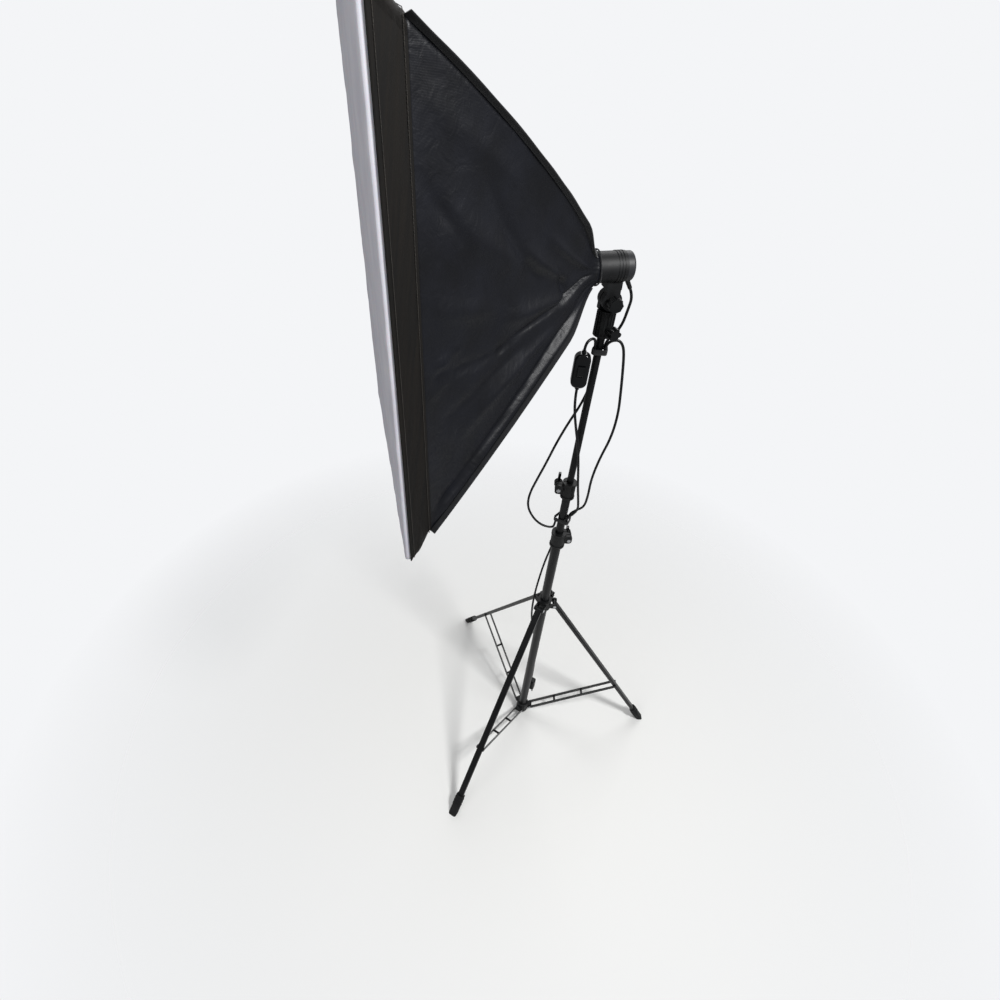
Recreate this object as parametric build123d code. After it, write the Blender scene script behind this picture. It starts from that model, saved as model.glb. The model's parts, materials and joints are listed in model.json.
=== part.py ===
"""Studio softbox on a folding three-legged light stand, as separate pieces.

Millimetres, +Z up. The origin is the floor point under the axis of the stand.
The light faces -Y. Each piece is written to parts/NAME.step.
"""
from build123d import *
from math import acos, atan2, cos, degrees, hypot, pi, radians, sin, tan
import os

os.makedirs("parts", exist_ok=True)

# ---- stand: three telescoping tubes -------------------------------------------------
LOWER_R = 11.0
LOWER_WALL = 1.2
MID_R = 9.0
MID_WALL = 1.1
TOP_R = 7.0
TOP_WALL = 1.0
LOWER_BASE = 14.0            # lower tube's bottom end, in the hub
LOWER_TOP = 745.0            # lower tube's top end, at the middle of the lower collar
MID_OUT = 146.0              # how far the middle tube stands out of the lower tube at rest
TOP_OUT = 348.0              # how far the top tube stands out of the middle tube at rest
MID_TOP = LOWER_TOP + MID_OUT
TOP_TOP = MID_TOP + TOP_OUT
MID_LENGTH = 690.0
TOP_LENGTH = 600.0
SLIDE_GAP = 0.06             # radial clearance of a sliding or turning fit
SEAT_GAP = 0.02              # radial clearance of a fixed fit
BUSH_HEIGHT = 18.0

# ---- tube collars -------------------------------------------------------------------
COLLAR_WALL = 5.0
COLLAR_HALF = 20.0           # half of a collar's height
EAR_LENGTH = 15.0
EAR_THICK = 6.0
EAR_HEIGHT = 22.0
SPLIT = 2.0                  # width of the slot between the ears
BOLT_R = 2.5
KNOB_R = 9.0
KNOB_LENGTH = 15.0
LOWER_WING = (17.0, 17.0)    # how far a knob's wing reaches below and above its axis
UPPER_WING = (11.0, 25.0)
WING_GAP = 0.8               # between the turning wing and the collar
LOWER_EAR_AZIMUTH = 80.0
UPPER_EAR_AZIMUTH = -108.0

# ---- legs ---------------------------------------------------------------------------
LEG_AZIMUTHS = (-45.0, 75.0, 195.0)
FOOT_RADIUS = 360.0          # from the stand's axis to a foot
LEG_LOCK_AZIMUTH = 135.0
LEG_PIVOT_R = 26.0
LEG_PIVOT_Z = 515.0
LEG_WIDTH = 16.0
LEG_DEPTH = 10.0
LEG_WALL = 1.2
LUG_GAP = 0.4                # each side, between a leg's end and the lug's cheek
LUG_CHEEK = 4.0
LUG_REACH = 7.0              # past the pivot
PIN_R = 2.0
SLEEVE_R = 17.0
SLEEVE_HALF = 15.0
LEG_BOSS = 5.0               # height of the screw's boss on the sleeve
STRUT_SHARE = 0.68           # place of the strut's pivot along the leg
HUB_R = 17.0
HUB_PIVOT_R = 22.0
HUB_PIVOT_Z = 26.0
HUB_TOP = 40.0
HUB_BASE = 8.0
STRIP_THICK = 1.5
STRIP_HALF = 5.5
STRIP_GAP = 0.5
FOOT_WALL = 3.0
FOOT_LENGTH = 46.0
FOOT_DROP = 9.0              # rubber below the end of the leg

# ---- lamp head ----------------------------------------------------------------------
PIVOT_Z = TOP_TOP + 66.8     # tilt pivot
REST_TILT = 2.7              # degrees below level
AXIS_UP = 53.0               # lamp axis above the tilt pivot
BARREL_R = 24.0
BARREL_WALL = 2.6
BARREL_BACK = 14.0
BARREL_FRONT = -58.0
CAP_DEPTH = 13.0
EAR_R = 17.0
JAW_FACE = 1.3               # ear's face from the middle plane
TOOTH = 1.0
TOOTH_COUNT = 24
JAW_THICK = 11.0
TILT_BOLT_R = 3.0
TILT_KNOB_R = 12.5
TILT_KNOB_LENGTH = 19.0
RECEIVER_R = 16.5
RECEIVER_RIB = 1.2
RECEIVER_RIBS = 18
SPIGOT_R = 7.94
SPIGOT_GROOVE = 1.94         # depth of the groove for the screw
SPIGOT_GROOVE_R = SPIGOT_R - SPIGOT_GROOVE
SPIGOT_FLANGE = 2.5
SPIGOT_TOP = TOP_TOP + 38.0
STUD_R = 3.1
STUD_TOP = SPIGOT_TOP + 6.0
RECEIVER_TOP = STUD_TOP + 4.5
RECEIVER_SCREW_Z = TOP_TOP + 18.0
RECEIVER_SCREW_AZIMUTH = 12.0
RADIAL_KNOB_R = 10.0
RADIAL_KNOB_LENGTH = 16.0
RADIAL_KNOB_LOBES = 5
TILT_KNOB_LOBES = 8
RECEIVER_BOSS = 4.0          # height of the screw's boss on the receiver
PLUG_IN = 26.0               # length of the spigot inside the top tube
CAP_WALL = 2.4
CAP_GAP = 0.8                # the cap is this much smaller than the barrel
GLAND_R = 4.2
SCREW_BOSS_R = 7.0

# ---- lamp and socket ----------------------------------------------------------------
LAMP_SEAT = 2.0              # socket's mouth, behind the barrel's front edge
SCREW_LENGTH = 30.0
SCREW_R = 13.1               # lamp's screw cap
SHELL_IN_R = 13.4            # socket's threaded shell
SHELL_OUT_R = 13.9
SOCKET_BORE_R = 14.0
CONTACT_R = 4.0
LAMP_BASE_R = 13.2
LAMP_WIDE_R = 30.0
LAMP_TAPER = 62.0
GLOBE_R = 39.0
GLOBE_OUT = 26.0             # globe's centre, in front of the taper's end

# ---- light box ----------------------------------------------------------------------
NECK_Y = -35.0
NECK_HALF = BARREL_R + 1.6
FRONT_Y = -375.0
FRONT_HALF_X = 250.0
FRONT_HALF_Z = 350.0
BAND_DEPTH = 36.0
BAND_FLARE_X = 33.5          # how much wider each side of the band gets towards the front
BAND_FLARE_Z = 33.0
SEAM_Y = FRONT_Y + BAND_DEPTH
SEAM_HALF_X = FRONT_HALF_X - BAND_FLARE_X
SEAM_HALF_Z = FRONT_HALF_Z - BAND_FLARE_Z
BOW_HIGH = 15.0              # how far the upper ribs push a corner out at mid length
BOW_LOW = 5.0                # the same for the lower ribs, which the cloth weighs down
RIB_BEHIND = 3.0             # how much less a rib bows than the cloth over it
CLOTH = 0.7
BAND_CLOTH = 1.2
CORNER_INSET = 2.4
BINDING_R = 1.3
RIB_R = 1.8
RIB_INSET_X = 12.0
RIB_INSET_Z = 16.0
RIB_SHORT = 10.0             # the rib's end stops this far behind the seam
RIB_START_Y = -50.0
RIB_START_R = BARREL_R + 5.0
BULGE = 9.0
STRIP_DEPTH = 12.0

# ---- lead ---------------------------------------------------------------------------
LEAD_D = 5.0
TIE_HALF = 6.0
TIE_GAP = 0.7                # each side of a lead in its tie
TIE_CLOTH = 1.5
TOP_TIE_Z = TOP_TOP - 25.0
MID_TIE_Z = LOWER_TOP + 61.0
LEAD_SIDE = 72.0             # azimuth of the lead's "side" direction
SWITCH_LENGTH = 66.0
SWITCH_WIDTH = 29.0
SWITCH_DEPTH = 20.0
SWITCH_SIDE = -27.0
SWITCH_NEAR = 24.0
SWITCH_TOP = 1216.0
SWITCH_BOSS = 5.0
SWITCH_ROUND = 12.0
SWITCH_EDGE = 4.5
ROCKER_WIDTH = 12.0
ROCKER_LENGTH = 19.6
ROCKER_DEPTH = 7.0
ROCKER_GAP = 0.4             # each side, across the pocket
ROCKER_SWING_GAP = 1.6       # each end, for the rocker's swing
ROCKER_PIN_R = 1.2
ROCKER_PIN_LENGTH = 16.0
ROCKER_SUNK = 2.5            # rocker's pin, below the switch's face
ROCKER_OFFSET = 2.0          # rocker's pin, above the switch's middle
ROCKER_TURN = 6.0
PLUG_SIDE = 15.0
PLUG_NEAR = -30.0
PLUG_TOP = 118.0
PLUG_WIDTH = 27.0
PLUG_DEPTH = 19.0
PLUG_LENGTH = 38.0
PLUG_AZIMUTH = 54.0
PLUG_PIN_R = 2.3
PLUG_PIN_LENGTH = 19.0
PLUG_PIN_SPACING = 19.0

made = {}


def keep(name, *solids):
    """Write one piece, which may be a group of separate solids."""
    body = solids[0] if len(solids) == 1 else Compound(children=list(solids))
    made[name] = body
    export_step(body, f"parts/{name}.step")


def rod(start, end, radius):
    """A round bar between two points."""
    start = Vector(*start)
    run = Vector(*end) - start
    return Plane(origin=start, z_dir=run) * Cylinder(
        radius, run.length, align=(Align.CENTER, Align.CENTER, Align.MIN))


def upright(radius, low, high):
    """A round bar on the stand's axis."""
    return rod((0, 0, low), (0, 0, high), radius)


def pipe(outer, inner, low, high):
    return upright(outer, low, high) - upright(inner, low - 1, high + 1)


def block(x, y, z):
    """A box from three (low, high) pairs."""
    size = [pair[1] - pair[0] for pair in (x, y, z)]
    middle = [(pair[1] + pair[0]) / 2 for pair in (x, y, z)]
    return Pos(*middle) * Box(*size)


def turned(shape, azimuth):
    return Rotation(0, 0, azimuth) * shape


# ---- the three tubes ----------------------------------------------------------------
MID_BASE = MID_TOP - MID_LENGTH
TOP_BASE = TOP_TOP - TOP_LENGTH


def tubes():
    keep("lower_tube", pipe(LOWER_R, LOWER_R - LOWER_WALL, LOWER_BASE, LOWER_TOP))
    keep("mid_tube", pipe(MID_R, MID_R - MID_WALL, MID_BASE, MID_TOP))
    keep("top_tube", pipe(TOP_R, TOP_R - TOP_WALL, TOP_BASE, TOP_TOP))
    bush_r = LOWER_R - LOWER_WALL - SLIDE_GAP
    keep("mid_bush", pipe(bush_r, MID_R + SEAT_GAP, MID_BASE, MID_BASE + BUSH_HEIGHT))
    bush_r = MID_R - MID_WALL - SLIDE_GAP
    keep("top_bush", pipe(bush_r, TOP_R + SEAT_GAP, TOP_BASE, TOP_BASE + BUSH_HEIGHT))


def split_collar(tube_r, slider_r, seat_z, azimuth):
    """A moulded collar on a tube's end, split on one side between two ears."""
    outer = tube_r + COLLAR_WALL
    low = seat_z - COLLAR_HALF
    high = seat_z + COLLAR_HALF
    body = upright(outer, low, high)
    body += upright(outer + 1.2, low, low + 5)
    body += upright(outer + 1.2, high - 6, high)
    ear_out = outer + EAR_LENGTH
    ear_half = SPLIT / 2 + EAR_THICK
    ears = block((0, ear_out), (-ear_half, ear_half), (seat_z - EAR_HEIGHT / 2, seat_z + EAR_HEIGHT / 2))
    ears = fillet(ears.edges().filter_by(Axis.Y).group_by(Axis.X)[-1], EAR_HEIGHT * 0.3)
    body += ears
    body -= upright(tube_r + SEAT_GAP, low - 1, seat_z)
    body -= upright(slider_r + SLIDE_GAP, seat_z - 1, high + 1)
    body -= block((0, ear_out + 1), (-SPLIT / 2, SPLIT / 2), (low - 1, high + 1))
    bolt_x = outer + EAR_LENGTH * 0.5
    body -= rod((bolt_x, -50, seat_z), (bolt_x, 50, seat_z), BOLT_R + SEAT_GAP)
    return turned(body, azimuth)


def on_side(shape, side):
    """The shape itself, or its mirror image across the collar's slot."""
    return shape if side > 0 else mirror(shape, Plane.XZ)


def clamp_bolt_place(tube_r, seat_z):
    return tube_r + COLLAR_WALL + EAR_LENGTH * 0.5, SPLIT / 2 + EAR_THICK, seat_z


def clamp_bolt(tube_r, seat_z, azimuth, side):
    """The bolt across the ears, with its hexagonal head on one side."""
    x, face, z = clamp_bolt_place(tube_r, seat_z)
    bolt = rod((x, -face, z), (x, face + KNOB_LENGTH * 0.7, z), BOLT_R)
    head = Plane(origin=(x, -face, z), z_dir=(0, -1, 0)) * extrude(RegularPolygon(4.6, 6), 3.6)
    return turned(on_side(bolt + head, side), azimuth)


def winged_knob(tube_r, seat_z, azimuth, side, reach):
    """A wing knob, threaded on the end of the clamp bolt."""
    x, face, z = clamp_bolt_place(tube_r, seat_z)
    near = face + 0.4
    far = near + KNOB_LENGTH
    knob = rod((x, near, z), (x, near + 5, z), KNOB_R * 0.8)
    knob += rod((x, near + 5, z), (x, far, z), KNOB_R)
    wing_from = max(near + 5, tube_r + COLLAR_WALL + WING_GAP)
    wing = block((x - 2.6, x + 2.6), (wing_from, far + 3), (z - reach[0], z + reach[1]))
    wing = fillet(wing.edges().filter_by(Axis.X), 3.2)
    knob += wing
    knob -= rod((x, near - 1, z), (x, face + KNOB_LENGTH * 0.7 + 0.3, z), BOLT_R + SLIDE_GAP)
    return turned(on_side(knob, side), azimuth)


def collars():
    places = (("lower", LOWER_R, MID_R, LOWER_TOP, LOWER_EAR_AZIMUTH, 1, LOWER_WING),
              ("upper", MID_R, TOP_R, MID_TOP, UPPER_EAR_AZIMUTH, -1, UPPER_WING))
    for name, tube_r, slider_r, seat_z, azimuth, side, reach in places:
        keep(f"{name}_collar", split_collar(tube_r, slider_r, seat_z, azimuth))
        keep(f"{name}_clamp_bolt", clamp_bolt(tube_r, seat_z, azimuth, side))
        keep(f"{name}_clamp_knob", winged_knob(tube_r, seat_z, azimuth, side, reach))
        x, face, z = clamp_bolt_place(tube_r, seat_z)
        turn = radians(azimuth)
        print(name, "knob axis point", round(x * cos(turn), 2), round(x * sin(turn), 2), z,
              "direction", round(-side * sin(turn), 4), round(side * cos(turn), 4))


# ---- legs, struts and their hubs ----------------------------------------------------
LEG_RUN = FOOT_RADIUS - LEG_PIVOT_R
LEG_FALL = LEG_PIVOT_Z - FOOT_DROP
LEG_LENGTH = hypot(LEG_RUN, LEG_FALL)
LEG_ANGLE = atan2(LEG_RUN, LEG_FALL)
STRUT_END_R = LEG_PIVOT_R + STRUT_SHARE * LEG_RUN
STRUT_END_Z = LEG_PIVOT_Z - STRUT_SHARE * LEG_FALL
STRUT_LENGTH = hypot(STRUT_END_R - HUB_PIVOT_R, STRUT_END_Z - HUB_PIVOT_Z)
STRUT_ANGLE = atan2(STRUT_END_R - HUB_PIVOT_R, STRUT_END_Z - HUB_PIVOT_Z)
FOLD_TRAVEL = (LOWER_TOP - COLLAR_HALF) - (LEG_PIVOT_Z + SLEEVE_HALF) - 2.0


def fold_angles():
    """Leg and strut angles from upright when the leg collar is at the top of its travel."""
    rise = LEG_PIVOT_Z + FOLD_TRAVEL - HUB_PIVOT_Z
    offset = LEG_PIVOT_R - HUB_PIVOT_R
    span = hypot(rise, offset)
    lean = atan2(offset, rise)
    upper = STRUT_SHARE * LEG_LENGTH
    cosine = (upper ** 2 + span ** 2 - STRUT_LENGTH ** 2) / (2 * upper * span)
    leg = acos(min(1.0, cosine)) - lean
    end_r = LEG_PIVOT_R + upper * sin(leg)
    end_z = LEG_PIVOT_Z + FOLD_TRAVEL - upper * cos(leg)
    return leg, atan2(end_r - HUB_PIVOT_R, end_z - HUB_PIVOT_Z)


def leg_frame():
    """Origin at the leg's pivot, X across the leg, Z down the leg, in the plane of +X."""
    along = (sin(LEG_ANGLE), 0, -cos(LEG_ANGLE))
    return Plane(origin=(LEG_PIVOT_R, 0, LEG_PIVOT_Z), x_dir=(0, 1, 0), z_dir=along)


def leg():
    half = LEG_DEPTH / 2
    outer = extrude(RectangleRounded(LEG_WIDTH, LEG_DEPTH, 3.0), LEG_LENGTH)
    inner = extrude(RectangleRounded(LEG_WIDTH - 2 * LEG_WALL, LEG_DEPTH - 2 * LEG_WALL, 1.8), LEG_LENGTH)
    bar = outer - Pos(0, 0, half + 6) * inner
    bar += Rotation(0, 90, 0) * Cylinder(half, LEG_WIDTH)
    bar -= Rotation(0, 90, 0) * Cylinder(PIN_R + SLIDE_GAP, LEG_WIDTH + 2)
    return leg_frame() * bar


def foot():
    """A rubber boot on the leg's end, cut flat where it meets the floor."""
    wide = LEG_WIDTH + 2 * FOOT_WALL
    deep = LEG_DEPTH + 2 * FOOT_WALL
    sock = Pos(0, 0, LEG_LENGTH - FOOT_LENGTH) * extrude(
        RectangleRounded(wide, deep, 5.0), FOOT_LENGTH + 2 * FOOT_DROP)
    for step in range(3):
        ridge = Pos(0, 0, LEG_LENGTH - FOOT_LENGTH + 8 + 9 * step) * extrude(
            RectangleRounded(wide + 1.6, deep + 1.6, 5.6), 3)
        sock += ridge
    seat = RectangleRounded(LEG_WIDTH + 2 * SEAT_GAP, LEG_DEPTH + 2 * SEAT_GAP, 3.0)
    sock -= extrude(seat, LEG_LENGTH + 0.02)
    boot = leg_frame() * sock
    return boot & block((0, FOOT_RADIUS + 60), (-40, 40), (0, 120))


def strut():
    """Two flat strips with two spacers, riveted to the leg at the outer end."""
    inner = LEG_WIDTH / 2 + STRIP_GAP
    outer = inner + STRIP_THICK
    strips = None
    for side in (-1, 1):
        strip = extrude(SlotCenterToCenter(STRUT_LENGTH, 2 * STRIP_HALF), STRIP_THICK)
        strip = Pos(STRUT_LENGTH / 2, 0, inner if side > 0 else -outer) * strip
        strips = strip if strips is None else strips + strip
        rivet = Pos(STRUT_LENGTH, 0, side * (outer + 0.6)) * Cylinder(PIN_R * 1.9, 1.2)
        strips += rivet
    for share in (0.3, 0.62):
        strips += Pos(STRUT_LENGTH * share, 0, 0) * Cylinder(3.0, 2 * inner)
    strips -= Cylinder(PIN_R + SLIDE_GAP, 4 * outer)
    along = (sin(STRUT_ANGLE), 0, cos(STRUT_ANGLE))
    place = Plane(origin=(HUB_PIVOT_R, 0, HUB_PIVOT_Z), x_dir=along, z_dir=(0, 1, 0))
    return place * strips


def lower_hub():
    hub = upright(HUB_R, HUB_BASE, HUB_TOP)
    hub = fillet(hub.edges().group_by(Axis.Z)[-1], 3)
    for azimuth in LEG_AZIMUTHS:
        lug = block((HUB_R - 6, HUB_PIVOT_R), (-LEG_WIDTH / 2, LEG_WIDTH / 2),
                    (HUB_PIVOT_Z - 6, HUB_PIVOT_Z + 6))
        lug += rod((HUB_PIVOT_R, -LEG_WIDTH / 2, HUB_PIVOT_Z), (HUB_PIVOT_R, LEG_WIDTH / 2, HUB_PIVOT_Z), 6)
        lug -= rod((HUB_PIVOT_R, -30, HUB_PIVOT_Z), (HUB_PIVOT_R, 30, HUB_PIVOT_Z), PIN_R + SEAT_GAP)
        clear = LEG_WIDTH / 2 + STRIP_GAP + STRIP_THICK + 1.8
        for side in (-1, 1):
            hub -= turned(block((HUB_PIVOT_R - 10, 40), sorted((side * LEG_WIDTH / 2, side * clear)),
                                (HUB_PIVOT_Z - 9, HUB_TOP + 1)), azimuth)
        hub += turned(lug, azimuth)
    return hub - upright(LOWER_R + SEAT_GAP, LOWER_BASE, HUB_TOP + 1)


def rivet_pin(radius_out, pivot_r, pivot_z, half):
    pin = rod((pivot_r, -half, pivot_z), (pivot_r, half, pivot_z), PIN_R)
    for side in (-1, 1):
        pin += rod((pivot_r, side * half, pivot_z), (pivot_r, side * (half + 1.2), pivot_z), radius_out)
    return pin


def leg_collar():
    """The sleeve that slides on the lower tube, with a forked lug for each leg."""
    sleeve = upright(SLEEVE_R, LEG_PIVOT_Z - SLEEVE_HALF, LEG_PIVOT_Z + SLEEVE_HALF)
    cheek_in = LEG_WIDTH / 2 + LUG_GAP
    cheek_out = cheek_in + LUG_CHEEK
    reach = LEG_PIVOT_R
    for azimuth in LEG_AZIMUTHS:
        for side in (-1, 1):
            span = sorted((side * cheek_in, side * cheek_out))
            cheek = block((LOWER_R, reach), span, (LEG_PIVOT_Z - LUG_REACH, LEG_PIVOT_Z + LUG_REACH))
            cheek += rod((reach, span[0], LEG_PIVOT_Z), (reach, span[1], LEG_PIVOT_Z), LUG_REACH)
            cheek -= rod((reach, -30, LEG_PIVOT_Z), (reach, 30, LEG_PIVOT_Z), PIN_R + SEAT_GAP)
            sleeve += turned(cheek, azimuth)
    boss = rod((LOWER_R, 0, LEG_PIVOT_Z), (SLEEVE_R + LEG_BOSS, 0, LEG_PIVOT_Z), SCREW_BOSS_R)
    sleeve += turned(boss, LEG_LOCK_AZIMUTH)
    sleeve -= upright(LOWER_R + SLIDE_GAP, 0, PIVOT_Z)
    screw = rod((0, 0, LEG_PIVOT_Z), (60, 0, LEG_PIVOT_Z), BOLT_R + SLIDE_GAP)
    return sleeve - turned(screw, LEG_LOCK_AZIMUTH)


def radial_knob(tip, seat, height, azimuth):
    """A lobed knob on a screw that points at the stand's axis."""
    near = seat + 0.5
    far = near + RADIAL_KNOB_LENGTH
    knob = rod((near, 0, height), (near + 4, 0, height), RADIAL_KNOB_R * 0.7)
    knob += rod((near + 4, 0, height), (far, 0, height), RADIAL_KNOB_R * 0.85)
    for lobe in range(RADIAL_KNOB_LOBES):
        turn = 2 * pi * lobe / RADIAL_KNOB_LOBES
        y = RADIAL_KNOB_R * 0.72 * cos(turn)
        z = height + RADIAL_KNOB_R * 0.72 * sin(turn)
        knob += rod((near + 4, y, z), (far, y, z), RADIAL_KNOB_R * 0.42)
    knob += rod((tip, 0, height), (near + 1, 0, height), BOLT_R)
    return turned(knob, azimuth)


def legs():
    keep("lower_hub", lower_hub())
    keep("leg_collar", leg_collar())
    strip_out = LEG_WIDTH / 2 + STRIP_GAP + STRIP_THICK + 0.3
    cheek_out = LEG_WIDTH / 2 + LUG_GAP + LUG_CHEEK + 0.05
    hub_pin = rivet_pin(PIN_R * 1.6, HUB_PIVOT_R, HUB_PIVOT_Z, strip_out)
    leg_pin = rivet_pin(PIN_R * 1.9, LEG_PIVOT_R, LEG_PIVOT_Z, cheek_out)
    keep("hub_pins", *[turned(hub_pin, a) for a in LEG_AZIMUTHS])
    keep("leg_pins", *[turned(leg_pin, a) for a in LEG_AZIMUTHS])
    for number, azimuth in enumerate(LEG_AZIMUTHS, 1):
        keep(f"leg_{number}", turned(leg(), azimuth))
        keep(f"foot_{number}", turned(foot(), azimuth))
        keep(f"strut_{number}", turned(strut(), azimuth))
    keep("leg_lock_knob", radial_knob(LOWER_R + 0.3, SLEEVE_R + LEG_BOSS, LEG_PIVOT_Z,
                                      LEG_LOCK_AZIMUTH))
    leg_closed, strut_closed = fold_angles()
    leg_turn = LEG_ANGLE - leg_closed
    strut_turn = STRUT_ANGLE - strut_closed
    print("fold travel mm", round(FOLD_TRAVEL, 3), "leg turn deg", round(degrees(leg_turn), 4),
          "strut turn deg", round(degrees(strut_turn), 4))
    print("ratios rad per m: leg", round(leg_turn / FOLD_TRAVEL * 1000, 5),
          "strut", round(strut_turn / FOLD_TRAVEL * 1000, 5))
    print("leg length", round(LEG_LENGTH, 1), "strut length", round(STRUT_LENGTH, 1))


# ---- spigot, receiver and tilt joint ------------------------------------------------
def pivoted(shape):
    """Place a piece made about the tilt pivot, at the rest tilt."""
    return Pos(0, 0, PIVOT_Z) * Rotation(REST_TILT, 0, 0) * shape


def toothed_face(side):
    """Radial teeth on one jaw of the tilt joint."""
    teeth = None
    for number in range(TOOTH_COUNT):
        tooth = block((JAW_FACE - TOOTH, JAW_FACE + 0.6), (-0.7, 0.7), (9.0, EAR_R - 1.0))
        tooth = Rotation(360 * (number + (0.5 if side > 0 else 0)) / TOOTH_COUNT, 0, 0) * tooth
        teeth = tooth if teeth is None else teeth + tooth
    return teeth if side > 0 else Rotation(0, 0, 180) * teeth


def spigot():
    body = upright(TOP_R - TOP_WALL - SEAT_GAP, TOP_TOP - PLUG_IN, TOP_TOP)
    body += upright(TOP_R + 2.5, TOP_TOP, TOP_TOP + SPIGOT_FLANGE)
    body += upright(SPIGOT_R, TOP_TOP + SPIGOT_FLANGE, SPIGOT_TOP)
    body += upright(STUD_R, SPIGOT_TOP, STUD_TOP)
    groove = pipe(SPIGOT_R + 1, SPIGOT_GROOVE_R, RECEIVER_SCREW_Z - 6, RECEIVER_SCREW_Z + 6)
    return body - groove


def receiver():
    """The lower half of the tilt joint: a ribbed sleeve with one toothed ear."""
    low = TOP_TOP + SPIGOT_FLANGE + 0.2
    body = upright(RECEIVER_R - RECEIVER_RIB, low, RECEIVER_TOP)
    for number in range(RECEIVER_RIBS):
        rib = block((RECEIVER_R - 4, RECEIVER_R), (-1.3, 1.3), (low + 3, RECEIVER_TOP - 3))
        body += turned(rib, 360 * number / RECEIVER_RIBS)
    body += upright(RECEIVER_R, low, low + 4)
    ear_x = (-JAW_FACE - JAW_THICK, -JAW_FACE)
    ear = block(ear_x, (-EAR_R, EAR_R), (RECEIVER_TOP - 1 - PIVOT_Z, 0))
    ear &= block(ear_x, (-RECEIVER_R + 2, RECEIVER_R - 2), (-40, 1)) + rod((-20, 0, 0), (0, 0, 0), EAR_R)
    ear += rod((ear_x[0], 0, 0), (ear_x[1], 0, 0), EAR_R)
    ear += toothed_face(-1)
    ear -= rod((-30, 0, 0), (5, 0, 0), TILT_BOLT_R + SEAT_GAP)
    body += Pos(0, 0, PIVOT_Z) * ear
    boss = rod((SPIGOT_R, 0, RECEIVER_SCREW_Z), (RECEIVER_R + RECEIVER_BOSS, 0, RECEIVER_SCREW_Z),
               SCREW_BOSS_R)
    body += turned(boss, RECEIVER_SCREW_AZIMUTH)
    body -= upright(SPIGOT_R + SLIDE_GAP, low - 1, SPIGOT_TOP + 0.5)
    body -= upright(STUD_R + 0.5, low, STUD_TOP + 1)
    screw = rod((0, 0, RECEIVER_SCREW_Z), (60, 0, RECEIVER_SCREW_Z), BOLT_R + SLIDE_GAP)
    return body - turned(screw, RECEIVER_SCREW_AZIMUTH)


TILT_KNOB_X = JAW_FACE + JAW_THICK + 0.6


def tilt_bolt():
    head_x = -JAW_FACE - JAW_THICK
    bolt = rod((head_x, 0, 0), (TILT_KNOB_X + TILT_KNOB_LENGTH * 0.6, 0, 0), TILT_BOLT_R)
    head = Plane(origin=(head_x, 0, 0), z_dir=(-1, 0, 0)) * extrude(RegularPolygon(6.2, 6), 4)
    return Pos(0, 0, PIVOT_Z) * (bolt + head)


def tilt_knob():
    near = TILT_KNOB_X
    far = near + TILT_KNOB_LENGTH
    knob = rod((near, 0, 0), (near + 5, 0, 0), TILT_KNOB_R * 0.62)
    knob += rod((near + 5, 0, 0), (far, 0, 0), TILT_KNOB_R * 0.9)
    for lobe in range(TILT_KNOB_LOBES):
        turn = 2 * pi * lobe / TILT_KNOB_LOBES
        y = TILT_KNOB_R * 0.8 * cos(turn)
        z = TILT_KNOB_R * 0.8 * sin(turn)
        knob += rod((near + 5, y, z), (far - 1, y, z), TILT_KNOB_R * 0.22)
    knob -= rod((near - 1, 0, 0), (near + TILT_KNOB_LENGTH * 0.6 + 0.4, 0, 0), TILT_BOLT_R + SLIDE_GAP)
    return Pos(0, 0, PIVOT_Z) * knob


# ---- lamp head, about the pivot, facing -Y ------------------------------------------
def along(y_low, y_high, radius):
    """A round bar on the lamp's axis."""
    return rod((0, y_low, AXIS_UP), (0, y_high, AXIS_UP), radius)


def head_barrel():
    body = along(BARREL_FRONT, BARREL_BACK, BARREL_R)
    for number in range(3):
        place = BARREL_BACK - 5 - 5 * number
        body += along(place - 1, place + 1, BARREL_R + 0.7)
    top = AXIS_UP - BARREL_R * 0.85
    ear = block((JAW_FACE, JAW_FACE + JAW_THICK), (-12, 12), (0, top))
    ear += rod((JAW_FACE, 0, 0), (JAW_FACE + JAW_THICK, 0, 0), EAR_R)
    ear += toothed_face(1)
    ear += block((-13, JAW_FACE + JAW_THICK), (-13, 13), (EAR_R + 2, top))
    ear -= rod((-30, 0, 0), (30, 0, 0), TILT_BOLT_R + SLIDE_GAP)
    body += ear
    body -= along(BARREL_FRONT - 1, BARREL_BACK - 4, BARREL_R - BARREL_WALL)
    return body - along(BARREL_BACK - 5, BARREL_BACK + 1, 9)


GLAND_ROOT = (0, BARREL_BACK + CAP_DEPTH * 0.62, AXIS_UP - BARREL_R * 0.72)
GLAND_END = (0, BARREL_BACK + CAP_DEPTH * 0.62 + 11, AXIS_UP - BARREL_R * 0.72 - 20)


def rear_cap():
    radius = BARREL_R - CAP_GAP
    cap = along(BARREL_BACK, BARREL_BACK + CAP_DEPTH, radius)
    cap = fillet(cap.edges().group_by(Axis.Y)[-1], 4)
    cap -= along(BARREL_BACK - 1, BARREL_BACK + CAP_DEPTH - 3, radius - CAP_WALL)
    return cap - rod(GLAND_ROOT, GLAND_END, GLAND_R + 0.1)


def cable_gland():
    """A tapered strain relief, seated in the cap's lower rear edge."""
    start = Vector(*GLAND_ROOT)
    run = Vector(*GLAND_END) - start
    cone = Plane(origin=start, z_dir=run) * Cone(
        GLAND_R, LEAD_D / 2 + 1.0, run.length, align=(Align.CENTER, Align.CENTER, Align.MIN))
    return cone


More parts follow.
